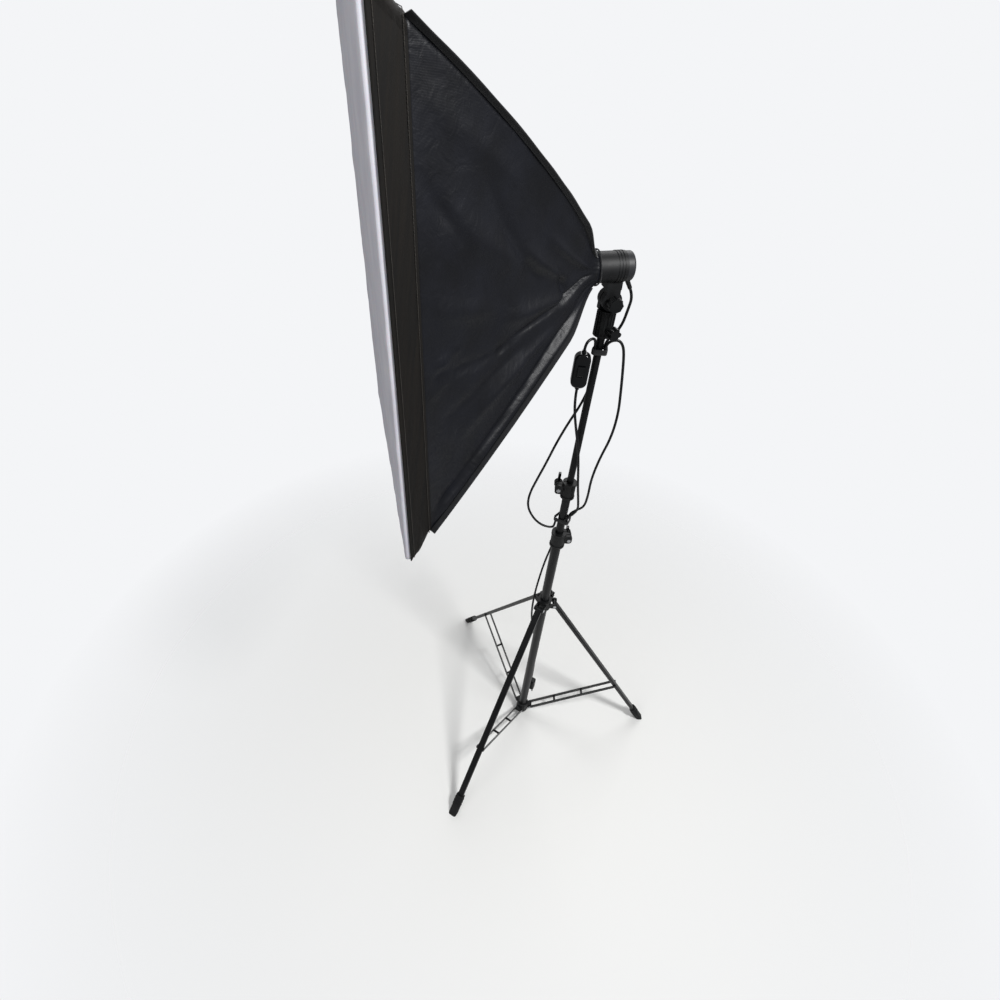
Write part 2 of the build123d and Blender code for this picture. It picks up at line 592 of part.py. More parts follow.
def lamp():
    """Socket, its brass shell and contact, and the screw lamp with its globe."""
    mouth = BARREL_FRONT + LAMP_SEAT
    bottom = mouth + SCREW_LENGTH + 2
    holder = along(mouth, BARREL_BACK - 12, BARREL_R - BARREL_WALL - SEAT_GAP)
    holder -= along(mouth - 2, bottom, SOCKET_BORE_R)
    keep("socket_body", pivoted(holder))
    shell = along(mouth + 1, bottom - 1, SHELL_OUT_R) - along(mouth, bottom, SHELL_IN_R)
    contact = along(bottom - 1.6, bottom, CONTACT_R)
    keep("socket_contacts", pivoted(shell), pivoted(contact))
    keep("lamp_cap", pivoted(along(mouth + 0.1, mouth + SCREW_LENGTH + 0.2, SCREW_R)))
    taper = Plane(origin=(0, mouth, AXIS_UP), z_dir=(0, -1, 0)) * Cone(
        LAMP_BASE_R, LAMP_WIDE_R, LAMP_TAPER, align=(Align.CENTER, Align.CENTER, Align.MIN))
    keep("lamp_body", pivoted(taper))
    rim = mouth - LAMP_TAPER
    dome = Pos(0, rim - GLOBE_OUT, AXIS_UP) * Sphere(GLOBE_R)
    dome &= block((-60, 60), (rim - 98, rim - 0.1), (AXIS_UP - 60, AXIS_UP + 60))
    keep("lamp_globe", pivoted(dome))


def bowed(start, end, bow):
    """Start, middle and end of a line that bows away from the lamp's axis."""
    chord = end - start
    outward = Vector(end.X, 0, end.Z)
    outward = (outward - chord * (outward.dot(chord) / chord.dot(chord))).normalized()
    return start, (start + end) * 0.5 + outward * bow, end


def corner_bow(sign_z):
    return BOW_HIGH if sign_z > 0 else BOW_LOW


def corner_arc(sign_x, sign_z):
    """The line of one corner of the cloth, from the neck to the seam."""
    start = Vector(sign_x * NECK_HALF, NECK_Y, sign_z * NECK_HALF)
    end = Vector(sign_x * SEAM_HALF_X, SEAM_Y, sign_z * SEAM_HALF_Z)
    return bowed(start, end, corner_bow(sign_z))


def moved_arc(points, shift_x, shift_z):
    shift = Vector(shift_x, 0, shift_z)
    lift = Vector(0, 0, AXIS_UP)
    return ThreePointArc(*[point + shift + lift for point in points])


def panel(corner_a, corner_b, inset_x, inset_z, name):
    """One cloth panel between two corner lines, kept clear of both corners."""
    edges = []
    for sign_x, sign_z in (corner_a, corner_b):
        arc = moved_arc(corner_arc(sign_x, sign_z), -sign_x * inset_x, -sign_z * inset_z)
        edges.append(arc.edge())
    face = Face.make_surface_from_curves(edges[0], edges[1])
    cloth = thicken(face, amount=CLOTH)
    keep(name, pivoted(cloth))


def cloth_panels():
    panel((-1, 1), (1, 1), CORNER_INSET, 0, "panel_top")
    panel((-1, -1), (1, -1), CORNER_INSET, 0, "panel_bottom")
    panel((-1, -1), (-1, 1), 0, CORNER_INSET, "panel_left")
    panel((1, -1), (1, 1), 0, CORNER_INSET, "panel_right")


def swept(path, radius):
    """A round bar along a line."""
    section = Plane(origin=path @ 0, z_dir=path % 0) * Circle(radius)
    return sweep(section, path)


CORNERS = ((1, 1), (-1, 1), (-1, -1), (1, -1))


def rib_line(sign_x, sign_z):
    """One rib, from its hole in the ring to its pocket inside the seam's corner."""
    size = hypot(SEAM_HALF_X, SEAM_HALF_Z)
    start = Vector(sign_x * RIB_START_R * SEAM_HALF_X / size, RIB_START_Y,
                   sign_z * RIB_START_R * SEAM_HALF_Z / size)
    end = Vector(sign_x * (SEAM_HALF_X - RIB_INSET_X), SEAM_Y + RIB_SHORT,
                 sign_z * (SEAM_HALF_Z - RIB_INSET_Z))
    return bowed(start, end, corner_bow(sign_z) - RIB_BEHIND)


def ribs():
    lift = Vector(0, 0, AXIS_UP)
    rods = []
    ring = along(RIB_START_Y - 2, RIB_START_Y + 9, BARREL_R + 3.2)
    holes = []
    for sign_x, sign_z in CORNERS:
        start, middle, end = rib_line(sign_x, sign_z)
        arc = ThreePointArc(start + lift, middle + lift, end + lift)
        rods.append(pivoted(swept(arc, RIB_R)))
        direction = (arc % 0).normalized()
        foot_point = start + lift - direction * 3
        tip_point = start + lift + direction * 9
        ring += rod(tuple(foot_point), tuple(tip_point), RIB_R + 2.4)
        holes.append(rod(tuple(start + lift), tuple(start + lift + direction * 12), RIB_R + SEAT_GAP))
    ring -= along(RIB_START_Y - 20, RIB_START_Y + 30, BARREL_R + SEAT_GAP)
    for hole in holes:
        ring -= hole
    keep("ribs", *rods)
    keep("rib_ring", pivoted(ring))


def frustum_shell(half_x1, half_z1, y1, half_x2, half_z2, y2, wall):
    """A four-sided band between two rectangles, open at both ends."""
    def section(half_x, half_z, y):
        plane = Plane(origin=(0, y, AXIS_UP), x_dir=(1, 0, 0), z_dir=(0, -1, 0))
        return plane * Rectangle(2 * half_x, 2 * half_z)
    slope = (half_x2 - half_x1) / (y2 - y1)
    outer = loft([section(half_x1, half_z1, y1), section(half_x2, half_z2, y2)])
    inner = loft([section(half_x1 - wall - slope, half_z1 - wall - slope, y1 + 1),
                  section(half_x2 - wall + slope, half_z2 - wall + slope, y2 - 1)])
    return outer - inner


def trim():
    band = frustum_shell(SEAM_HALF_X + 1, SEAM_HALF_Z + 1, SEAM_Y - 0.4,
                         FRONT_HALF_X, FRONT_HALF_Z, FRONT_Y, BAND_CLOTH)
    keep("rim_band", pivoted(band))
    outer_x = FRONT_HALF_X - 15.5
    outer_z = FRONT_HALF_Z - 15.5
    keep("hook_strip", pivoted(flat_ring(outer_x, outer_z, FRONT_Y + 1, BAND_CLOTH)))
    pieces = []
    lift = Vector(0, 0, AXIS_UP)
    for sign_x, sign_z in CORNERS:
        arc = ThreePointArc(*[point + lift for point in corner_arc(sign_x, sign_z)])
        pieces.append(pivoted(swept(arc, BINDING_R)))
    neck = Plane(origin=(0, NECK_Y + 3.2, AXIS_UP), z_dir=(0, 1, 0)) * Torus(BARREL_R + 1.8, 1.3)
    keep("edge_trim", *pieces, pivoted(neck))


def flat_ring(half_x, half_z, y, wall):
    ring = block((-half_x, half_x), (y, y + STRIP_DEPTH), (AXIS_UP - half_z, AXIS_UP + half_z))
    half_x -= wall
    half_z -= wall
    return ring - block((-half_x, half_x), (y - 1, y + STRIP_DEPTH + 1), (AXIS_UP - half_z, AXIS_UP + half_z))


def diffuser():
    """The white front: a bulging cloth with a loop strip inside the band's edge."""
    count = 9
    rows = []
    for i in range(count):
        row = []
        for j in range(count):
            u = -1 + 2 * i / (count - 1)
            v = -1 + 2 * j / (count - 1)
            rise = BULGE * ((1 - u ** 4) * (1 - v ** 4)) ** 0.7
            row.append(Vector(u * (FRONT_HALF_X - 1), FRONT_Y - 1.6 - rise, AXIS_UP + v * (FRONT_HALF_Z - 1)))
        rows.append(row)
    face = Face.make_surface_from_array_of_points(rows)
    cloth = thicken(face, amount=CLOTH)
    half_x = FRONT_HALF_X - 15.5 - BAND_CLOTH - 0.4
    half_z = FRONT_HALF_Z - 15.5 - BAND_CLOTH - 0.4
    hem = flat_ring(half_x, half_z, FRONT_Y + 1, BAND_CLOTH)
    keep("front_diffuser", pivoted(cloth), pivoted(hem))


def head():
    keep("head_barrel", pivoted(head_barrel()))
    keep("rear_cap", pivoted(rear_cap()))
    keep("cable_gland", pivoted(cable_gland()))
    lamp()
    cloth_panels()
    ribs()
    trim()
    diffuser()


# ---- lead, switch and plug ----------------------------------------------------------
SIDE_X = cos(radians(LEAD_SIDE))
SIDE_Y = sin(radians(LEAD_SIDE))


def spot(side, near, height):
    """A point from its distances to the side of and in front of the stand's axis."""
    return Vector(side * SIDE_X + near * SIDE_Y, side * SIDE_Y - near * SIDE_X, height)


def lead(name, points):
    """A round lead: straight runs joined by arcs as large as the runs allow."""
    runs = [(points[i + 1] - points[i]) for i in range(len(points) - 1)]
    radii = []
    for before, after in zip(runs, runs[1:]):
        turn = radians(before.get_angle(after))
        radii.append(0.45 * min(before.length, after.length) / tan(turn / 2))
    path = FilletPolyline(*points, radius=radii) if radii else Line(*points)
    tube = swept(path, LEAD_D / 2)
    ideal = pi * (LEAD_D / 2) ** 2 * path.length
    print(name, "length", round(path.length, 1), "least radius", round(min(radii), 1),
          "volume ratio", round(tube.volume / ideal, 4),
          "turns", [round(before.get_angle(after)) for before, after in zip(runs, runs[1:])])
    keep(name, tube)


def tie(name, tube_r, height):
    """A hook-and-loop strap wound round a tube and the leads beside it."""
    outer = tube_r + SEAT_GAP + 2 * TIE_CLOTH + 2 * TIE_GAP + LEAD_D
    half = TIE_HALF
    strap = pipe(outer, outer - TIE_CLOTH, height - half, height + half)
    strap += pipe(tube_r + SEAT_GAP + TIE_CLOTH, tube_r + SEAT_GAP, height - half, height + half)
    strap += pipe(outer, tube_r + SEAT_GAP, height - 1, height + 1)
    keep(name, strap)


def switch():
    """A hand switch in the lead, hanging upright, with its rocker facing the front."""
    middle = spot(SWITCH_SIDE, SWITCH_NEAR, SWITCH_TOP - SWITCH_LENGTH / 2)
    frame_plane = Plane(origin=middle, x_dir=(SIDE_X, SIDE_Y, 0), z_dir=(SIDE_Y, -SIDE_X, 0))
    case = Box(SWITCH_WIDTH, SWITCH_LENGTH, SWITCH_DEPTH)
    case = fillet(case.edges().filter_by(Axis.Z), SWITCH_ROUND)
    case = fillet(case.edges().group_by(Axis.Z)[-1] + case.edges().group_by(Axis.Z)[0], SWITCH_EDGE)
    pocket = Pos(0, ROCKER_OFFSET, SWITCH_DEPTH / 2) * Box(
        ROCKER_WIDTH + 2 * ROCKER_GAP, ROCKER_LENGTH + 2 * ROCKER_SWING_GAP, 16)
    case -= pocket
    pivot_depth = SWITCH_DEPTH / 2 - ROCKER_SUNK
    pin_hole = Cylinder(ROCKER_PIN_R + SLIDE_GAP, ROCKER_PIN_LENGTH + 1)
    case -= Pos(0, ROCKER_OFFSET, pivot_depth) * Rotation(0, 90, 0) * pin_hole
    for end in (-1, 1):
        boss = Rotation(90, 0, 0) * Cylinder(LEAD_D / 2 + 1.4, 2 * SWITCH_BOSS)
        case += Pos(0, end * SWITCH_LENGTH / 2, 0) * boss
    keep("switch_housing", frame_plane * case)
    rocker = Box(ROCKER_WIDTH, ROCKER_LENGTH, ROCKER_DEPTH)
    rocker = fillet(rocker.edges().filter_by(Axis.X), 2.0)
    rocker = Pos(0, 0, 1.6) * rocker
    rocker += Rotation(0, 90, 0) * Cylinder(ROCKER_PIN_R, ROCKER_PIN_LENGTH)
    rocker = Pos(0, ROCKER_OFFSET, pivot_depth) * Rotation(ROCKER_TURN, 0, 0) * rocker
    keep("switch_rocker", frame_plane * rocker)
    pivot = frame_plane.from_local_coords(Vector(0, ROCKER_OFFSET, pivot_depth))
    print("rocker pivot", [round(v, 2) for v in pivot])


TOP_LEAD_R = TOP_R + SEAT_GAP + TIE_CLOTH + TIE_GAP + LEAD_D / 2
MID_LEAD_R = MID_R + SEAT_GAP + TIE_CLOTH + TIE_GAP + LEAD_D / 2
TIE_END = 1.3                # a lead's end stands this far from the middle of its tie


def ring_spot(radius, angle, height):
    """A point beside a tube, at an angle from the lead's side direction towards its front."""
    return spot(radius * cos(radians(angle)), radius * sin(radians(angle)), height)


def leads():
    tie("top_tie", TOP_R, TOP_TIE_Z)
    tie("mid_tie", MID_R, MID_TIE_Z)
    exit_start = pivoted(Vertex(*GLAND_ROOT)).center()
    exit_end = pivoted(Vertex(*GLAND_END)).center()
    exit_way = (exit_end - exit_start).normalized()
    top_up = TOP_TIE_Z + TIE_END
    top_down = TOP_TIE_Z - TIE_END
    mid_up = MID_TIE_Z + TIE_END
    mid_down = MID_TIE_Z - TIE_END
    lead("lead_head", [exit_end, exit_end + exit_way * 16, spot(35, -8, 1285), spot(32, -8, 1262),
                       spot(24, -9, 1243), ring_spot(TOP_LEAD_R, -30, 1229),
                       ring_spot(TOP_LEAD_R, -30, top_up)])
    lead("lead_right", [ring_spot(TOP_LEAD_R, 35, top_up), ring_spot(TOP_LEAD_R, 35, 1227),
                        spot(18, 10, 1238), spot(30, 10, 1240), spot(39, 9, 1230), spot(44, 8, 1213),
                        spot(49, 7, 1183), spot(55, 6, 1141), spot(61, 6, 1091), spot(59, 6, 1037),
                        spot(47, 7, 984), spot(40, 9, 932), spot(42, 8, 883), spot(40, 4, 850),
                        spot(25, -1, 833), ring_spot(MID_LEAD_R, -10, 820),
                        ring_spot(MID_LEAD_R, -10, mid_up)])
    lead("lead_left", [ring_spot(TOP_LEAD_R, -95, top_down), ring_spot(TOP_LEAD_R, -95, 1196),
                       spot(1, -15, 1174), spot(2, -16, 1138), spot(-8, -15, 1092), spot(-26, -13, 1046),
                       spot(-42, -10, 998), spot(-55, -7, 949), spot(-69, -5, 902), spot(-80, -3, 862),
                       spot(-80, -1, 828), spot(-64, 0, 798), spot(-43, 0, 779), spot(-20, 0, 775),
                       ring_spot(MID_LEAD_R, 178, 783), ring_spot(MID_LEAD_R, 178, mid_down)])
    switch_in = SWITCH_TOP + SWITCH_BOSS
    switch_out = SWITCH_TOP - SWITCH_LENGTH - SWITCH_BOSS
    lead("lead_switch_in", [ring_spot(TOP_LEAD_R, 135, top_up), ring_spot(TOP_LEAD_R, 135, 1234),
                            spot(-17, 16, 1241), spot(SWITCH_SIDE, SWITCH_NEAR, 1234),
                            spot(SWITCH_SIDE, SWITCH_NEAR, switch_in)])
    lead("lead_switch_out", [spot(SWITCH_SIDE, SWITCH_NEAR, switch_out), spot(SWITCH_SIDE, SWITCH_NEAR, 1130),
                             spot(-23, 24, 1097), spot(-13, 23, 1056), spot(-1, 22, 1012), spot(7, 21, 967),
                             spot(14, 21, 921), spot(22, 19, 880), spot(27, 15, 851), spot(19, 12, 832),
                             ring_spot(MID_LEAD_R, 50, 820), ring_spot(MID_LEAD_R, 50, mid_up)])
    switch()
    plug_entry = spot(PLUG_SIDE, PLUG_NEAR, PLUG_TOP)
    lead("lead_lower", [ring_spot(MID_LEAD_R, -105, mid_down), ring_spot(MID_LEAD_R, -105, 792),
                        spot(-4, -21, 772), spot(-3, -27, 738), spot(-6, -30, 690), spot(-15, -30, 634),
                        spot(-22, -21, 580), spot(-27, -9, 528), spot(-27, -2, 474), spot(-20, -10, 420),
                        spot(-10, -22, 366), spot(2, -30, 308), spot(11, -33, 248), spot(14, -32, 192),
                        spot(PLUG_SIDE, PLUG_NEAR, 150), plug_entry])
    plug()


def plug():
    """The moulded mains plug on the lead's end, pins down."""
    middle = spot(PLUG_SIDE, PLUG_NEAR, PLUG_TOP - PLUG_LENGTH / 2)
    body = Box(PLUG_WIDTH, PLUG_DEPTH, PLUG_LENGTH)
    body = fillet(body.edges().filter_by(Axis.Z), 6)
    body = fillet(body.edges().group_by(Axis.Z)[-1], 4)
    keep("plug_body", Pos(*middle) * turned(body, PLUG_AZIMUTH))
    pins = []
    for side in (-1, 1):
        pin = Pos(side * PLUG_PIN_SPACING / 2, 0, -(PLUG_LENGTH + PLUG_PIN_LENGTH) / 2)
        pins.append(Pos(*middle) * turned(pin * Cylinder(PLUG_PIN_R, PLUG_PIN_LENGTH), PLUG_AZIMUTH))
    keep("plug_pins", *pins)


tubes()
collars()
legs()
keep("spigot", spigot())
keep("receiver", receiver())
keep("tilt_bolt", tilt_bolt())
keep("tilt_knob", tilt_knob())
keep("receiver_knob", radial_knob(SPIGOT_GROOVE_R + 0.4, RECEIVER_R + RECEIVER_BOSS, RECEIVER_SCREW_Z,
                                  RECEIVER_SCREW_AZIMUTH))
head()
leads()
print(len(made), "pieces")
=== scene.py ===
"""Looks for the studio softbox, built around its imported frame."""
import json
import math

import bmesh
import bpy
from mathutils import Matrix, Vector, noise


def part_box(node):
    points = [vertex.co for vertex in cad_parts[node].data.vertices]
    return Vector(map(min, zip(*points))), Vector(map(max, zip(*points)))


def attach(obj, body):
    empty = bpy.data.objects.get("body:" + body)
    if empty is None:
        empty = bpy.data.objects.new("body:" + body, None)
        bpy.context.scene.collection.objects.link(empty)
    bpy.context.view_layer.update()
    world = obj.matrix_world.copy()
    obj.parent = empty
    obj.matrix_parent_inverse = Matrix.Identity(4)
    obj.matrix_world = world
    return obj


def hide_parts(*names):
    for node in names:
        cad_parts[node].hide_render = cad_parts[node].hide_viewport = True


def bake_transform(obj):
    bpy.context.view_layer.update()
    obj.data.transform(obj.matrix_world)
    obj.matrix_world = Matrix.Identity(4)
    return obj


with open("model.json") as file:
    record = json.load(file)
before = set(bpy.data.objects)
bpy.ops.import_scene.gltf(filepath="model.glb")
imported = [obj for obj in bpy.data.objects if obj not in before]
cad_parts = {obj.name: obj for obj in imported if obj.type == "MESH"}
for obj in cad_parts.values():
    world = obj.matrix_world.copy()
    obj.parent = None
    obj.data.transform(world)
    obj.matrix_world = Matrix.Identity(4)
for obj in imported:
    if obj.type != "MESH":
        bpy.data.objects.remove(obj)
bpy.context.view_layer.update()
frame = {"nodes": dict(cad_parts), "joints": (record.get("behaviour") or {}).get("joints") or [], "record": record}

MM = 0.001
nodes = frame["nodes"]
joints = {joint["name"]: joint for joint in frame["joints"]}

# ---- where the light box stands: its tilt pivot, the way it faces and its own up ----
PIVOT = Vector(joints["head_tilt"]["pos_m"])
FRONT = Vector(joints["diffuser_off"]["axis"])
RIGHT = Vector((1, 0, 0))
UP = FRONT.cross(RIGHT)
LAMP_UP = 53 * MM                # lamp axis above the pivot

# ---- the light box's own sizes -------------------------------------------------------
NECK_OUT = 35 * MM
NECK_HALF = 25.6 * MM
NECK_R = 26.4 * MM
SEAM_OUT = 339 * MM
SEAM_X = 216.5 * MM
SEAM_Z = 317 * MM
FRONT_OUT = 375 * MM
FRONT_X = 249.6 * MM
FRONT_Z = 349.6 * MM
BOW_HIGH = 15 * MM
BOW_LOW = 5 * MM
CORNER_R = 9 * MM
CLOTH = 0.7 * MM


def place(x, out, up):
    """A point of the light box in the frame, from its offsets from the lamp's axis."""
    return PIVOT + RIGHT * x + FRONT * out + UP * (up + LAMP_UP)


# ---- small helpers ---------------------------------------------------------------------
def mesh_object(name, points, faces, material, uvs=None):
    """A mesh at the origin; uvs is one pair per point."""
    mesh = bpy.data.meshes.new(name)
    mesh.from_pydata([tuple(point) for point in points], [], faces)
    if uvs is not None:
        layer = mesh.uv_layers.new(name="UVMap")
        for loop in mesh.loops:
            layer.data[loop.index].uv = uvs[loop.vertex_index]
    for polygon in mesh.polygons:
        polygon.use_smooth = True
    mesh.update()
    thing = bpy.data.objects.new(name, mesh)
    bpy.context.scene.collection.objects.link(thing)
    for entry in material if isinstance(material, (list, tuple)) else [material]:
        mesh.materials.append(entry)
    return thing


def grid_faces(rows, columns, closed=False):
    """Quads between rows of points, closed round each row if asked."""
    faces = []
    last = columns if closed else columns - 1
    for i in range(rows - 1):
        for j in range(last):
            k = (j + 1) % columns
            faces.append((i * columns + j, i * columns + k, (i + 1) * columns + k, (i + 1) * columns + j))
    return faces


def tube_faces(rows, columns):
    """Quads round a closed tube, and its two end caps."""
    faces = grid_faces(rows, columns, closed=True)
    faces.append(tuple(range(columns))[::-1])
    faces.append(tuple((rows - 1) * columns + k for k in range(columns)))
    return faces


def thicken(thing, depth, inner_slot=0):
    """A live wall towards the inside."""
    wall = thing.modifiers.new("wall", "SOLIDIFY")
    wall.thickness = depth
    wall.offset = -1
    wall.material_offset = inner_slot
    wall.material_offset_rim = 0
    return wall


def face_outwards(thing, away_from):
    """Turn a sheet's faces so that they look away from a point."""
    mesh = thing.data
    lean = sum((polygon.center - away_from).dot(polygon.normal) * polygon.area for polygon in mesh.polygons)
    if lean < 0:
        mesh.flip_normals()


def finished(name, source, material, body):
    """The evaluated mesh of an object as a plain piece on one body."""
    graph = bpy.context.evaluated_depsgraph_get()
    mesh = bpy.data.meshes.new_from_object(source.evaluated_get(graph))
    bpy.data.objects.remove(source)
    piece = bpy.data.objects.new(name, mesh)
    bpy.context.scene.collection.objects.link(piece)
    mesh.materials.clear()
    mesh.materials.append(material)
    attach(piece, body)
    return piece


# ---- materials -----------------------------------------------------------------------------
def linear(code):
    """An sRGB hex colour as linear RGBA."""
    values = [int(code[i:i + 2], 16) / 255 for i in (0, 2, 4)]
    return tuple(v / 12.92 if v <= 0.04045 else ((v + 0.055) / 1.055) ** 2.4 for v in values) + (1.0,)


def add(tree, kind, inputs=None, **settings):
    """One shader node with its settings, and its inputs as values or links."""
    made = tree.nodes.new(kind)
    for key, value in settings.items():
        setattr(made, key, value)
    for key, value in (inputs or {}).items():
        if isinstance(value, bpy.types.NodeSocket):
            tree.links.new(value, made.inputs[key])
        else:
            made.inputs[key].default_value = value
    return made


def ramp(tree, factor, stops):
    """A colour ramp over a factor, from (place, colour) pairs."""
    made = add(tree, "ShaderNodeValToRGB", {"Fac": factor})
    line = made.color_ramp
    line.elements[0].position, line.elements[0].color = stops[0]
    line.elements[1].position, line.elements[1].color = stops[-1]
    for position, colour in stops[1:-1]:
        line.elements.new(position).color = colour
    return made.outputs["Color"]


def material(name, **settings):
    """A material with one Principled shader and its constant sockets set."""
    made = bpy.data.materials.new(name)
    made.use_nodes = True
    shader = made.node_tree.nodes["Principled BSDF"]
    for key, value in settings.items():
        shader.inputs[key.replace("_", " ")].default_value = value
    return made, made.node_tree, shader


def place_of(tree, uv=False):
    """The place a pattern reads: the object's own space, or its UV map."""
    kind = "UV" if uv else "Object"
    return add(tree, "ShaderNodeTexCoord").outputs[kind]


def tone(tree, where, shader, dark, light, size, detail=3.0):
    """Patches of two close colours, size metres across."""
    patch = add(tree, "ShaderNodeTexNoise", {"Vector": where, "Scale": 1 / size, "Detail": detail})
    colour = ramp(tree, patch.outputs["Fac"], [(0.32, linear(dark)), (0.68, linear(light))])
    tree.links.new(colour, shader.inputs["Base Color"])
    return patch.outputs["Fac"]


def gloss(tree, shader, factor, low, high):
    """Roughness that follows a pattern between two values."""
    span = add(tree, "ShaderNodeMapRange", {"Value": factor, "To Min": low, "To Max": high})
    tree.links.new(span.outputs["Result"], shader.inputs["Roughness"])


WAVES_PER_UNIT = 3.1831          # bands of a wave texture in one unit at scale 1


def weave_height(tree, where, pitch):
    """Plain weave: two crossed threads, pitch metres apart."""
    heights = []
    scale = 1 / pitch / WAVES_PER_UNIT
    for direction in ("X", "Y"):
        wave = add(tree, "ShaderNodeTexWave", {"Vector": where, "Scale": scale, "Distortion": 0.6},
                   bands_direction=direction, wave_profile="SIN")
        heights.append(wave.outputs["Fac"])
    return add(tree, "ShaderNodeMath", {0: heights[0], 1: heights[1]}, operation="ADD").outputs[0]


def bump(tree, shader, height, depth, strength=1.0, under=None):
    """Relief from a height, on top of another relief if one is given."""
    made = add(tree, "ShaderNodeBump", {"Height": height, "Distance": depth, "Strength": strength})
    if under is not None:
        tree.links.new(under, made.inputs["Normal"])
    tree.links.new(made.outputs["Normal"], shader.inputs["Normal"])
    return made.outputs["Normal"]


def coated_nylon():
    """Blue-black coated nylon, woven: a soft sheen, small crinkles and a fine weave, drawn at 1.2 mm."""
    made, tree, shader = material("coated_nylon_woven", Specular_IOR_Level=0.34)
    where = place_of(tree, uv=True)
    patch = tone(tree, where, shader, "04050A", "090B13", 60 * MM)
    gloss(tree, shader, patch, 0.4, 0.54)
    crinkle = add(tree, "ShaderNodeTexNoise", {"Vector": where, "Scale": 1 / (22 * MM), "Detail": 4.0,
                                              "Distortion": 1.2})
    soft = bump(tree, shader, crinkle.outputs["Fac"], 2.2 * MM, 0.55)
    bump(tree, shader, weave_height(tree, where, 1.2 * MM), 0.08 * MM, 0.5, soft)
    return made


def silver_lining():
    """Aluminised lining cloth: bright, soft reflections broken by crinkles."""
    made, tree, shader = material("aluminised_lining", Metallic=0.75)
    where = place_of(tree, uv=True)
    patch = tone(tree, where, shader, "B9BBBE", "D2D4D6", 40 * MM)
    gloss(tree, shader, patch, 0.3, 0.45)
    crinkle = add(tree, "ShaderNodeTexNoise", {"Vector": where, "Scale": 1 / (9 * MM), "Detail": 3.0})
    bump(tree, shader, crinkle.outputs["Fac"], 1.5 * MM, 0.5)
    return made


def band_nylon():
    """Brownish black heavier nylon of the front band: matt, with a visible weave."""
    made, tree, shader = material("oxford_nylon_woven", Specular_IOR_Level=0.2)
    where = place_of(tree, uv=True)
    patch = tone(tree, where, shader, "0D0C0B", "15120F", 30 * MM)
    gloss(tree, shader, patch, 0.62, 0.78)
    crinkle = add(tree, "ShaderNodeTexNoise", {"Vector": where, "Scale": 1 / (14 * MM), "Detail": 4.0})
    soft = bump(tree, shader, crinkle.outputs["Fac"], 1.4 * MM, 0.5)
    bump(tree, shader, weave_height(tree, where, 1.5 * MM), 0.12 * MM, 0.7, soft)
    return made


def diffusion_cloth():
    """White woven polyester: matt, slightly see-through, faintly lavender in the shade."""
    made, tree, shader = material("diffusion_cloth_woven", Roughness=0.78, Specular_IOR_Level=0.2,
                                  Subsurface_Weight=0.1, Subsurface_Scale=3 * MM)
    where = place_of(tree, uv=True)
    tone(tree, where, shader, "C9C7D0", "D6D4DB", 70 * MM)
    slub = add(tree, "ShaderNodeTexNoise", {"Vector": where, "Scale": 1 / (18 * MM), "Detail": 3.0})
    soft = bump(tree, shader, slub.outputs["Fac"], 0.8 * MM, 0.35)
    bump(tree, shader, weave_height(tree, where, 1.0 * MM), 0.05 * MM, 0.5, soft)
    return made


def woven_tape(name, dark, light):
    """Woven edge tape or hook tape: matt, with a coarse thread."""
    made, tree, shader = material(name, Specular_IOR_Level=0.25, Sheen_Weight=0.2)
    where = place_of(tree)
    patch = tone(tree, where, shader, dark, light, 12 * MM)
    gloss(tree, shader, patch, 0.7, 0.85)
    thread = add(tree, "ShaderNodeTexVoronoi", {"Vector": where, "Scale": 1 / (1.1 * MM)})
    bump(tree, shader, thread.outputs["Distance"], 0.3 * MM, 0.6)
    return made


def powder_coat():
    """Black powder coat on steel tube: satin, with a faint orange peel and rubbed, lighter patches."""
    made, tree, shader = material("powder_coated_steel", Specular_IOR_Level=0.28)
    where = place_of(tree)
    patch = tone(tree, where, shader, "060708", "0C0D0F", 45 * MM)
    gloss(tree, shader, patch, 0.28, 0.42)
    peel = add(tree, "ShaderNodeTexNoise", {"Vector": where, "Scale": 1 / (1.6 * MM), "Detail": 2.0})
    bump(tree, shader, peel.outputs["Fac"], 0.05 * MM, 0.5)
    return made


def moulded(name, dark, light, low, high, grain=0.8):
    """Moulded plastic or rubber: spark-eroded grain, grain millimetres across, and a soft gloss."""
    made, tree, shader = material(name, Specular_IOR_Level=0.32)
    where = place_of(tree)
    patch = tone(tree, where, shader, dark, light, 18 * MM)
    gloss(tree, shader, patch, low, high)
    pits = add(tree, "ShaderNodeTexNoise", {"Vector": where, "Scale": 1 / (grain * MM), "Detail": 2.0})
    bump(tree, shader, pits.outputs["Fac"], 0.06 * MM, 0.6)
    return made


def metal(name, dark, light, low, high, line=0.4):
    """Plated or drawn metal with fine lines along its length."""
    made, tree, shader = material(name, Metallic=1.0)
    where = place_of(tree)
    patch = tone(tree, where, shader, dark, light, 10 * MM)
    gloss(tree, shader, patch, low, high)
    stretch = add(tree, "ShaderNodeMapping", {"Vector": where, "Scale": (1, 1, 0.08)})
    lines = add(tree, "ShaderNodeTexNoise", {"Vector": stretch.outputs["Vector"], "Scale": 1 / (line * MM)})
    bump(tree, shader, lines.outputs["Fac"], 0.02 * MM, 0.5)
    return made


NYLON = coated_nylon()
LINING = silver_lining()
BAND = band_nylon()
WHITE = diffusion_cloth()
TAPE = woven_tape("polyester_edge_tape", "0B0C0E", "15161A")
HOOK = woven_tape("hook_and_loop_tape", "0D0E10", "191A1D")
THREAD = woven_tape("polyester_thread", "24211E", "34302B")
COAT = powder_coat()
PVC = moulded("pvc_lead_sheath", "08090A", "0F1012", 0.34, 0.46)

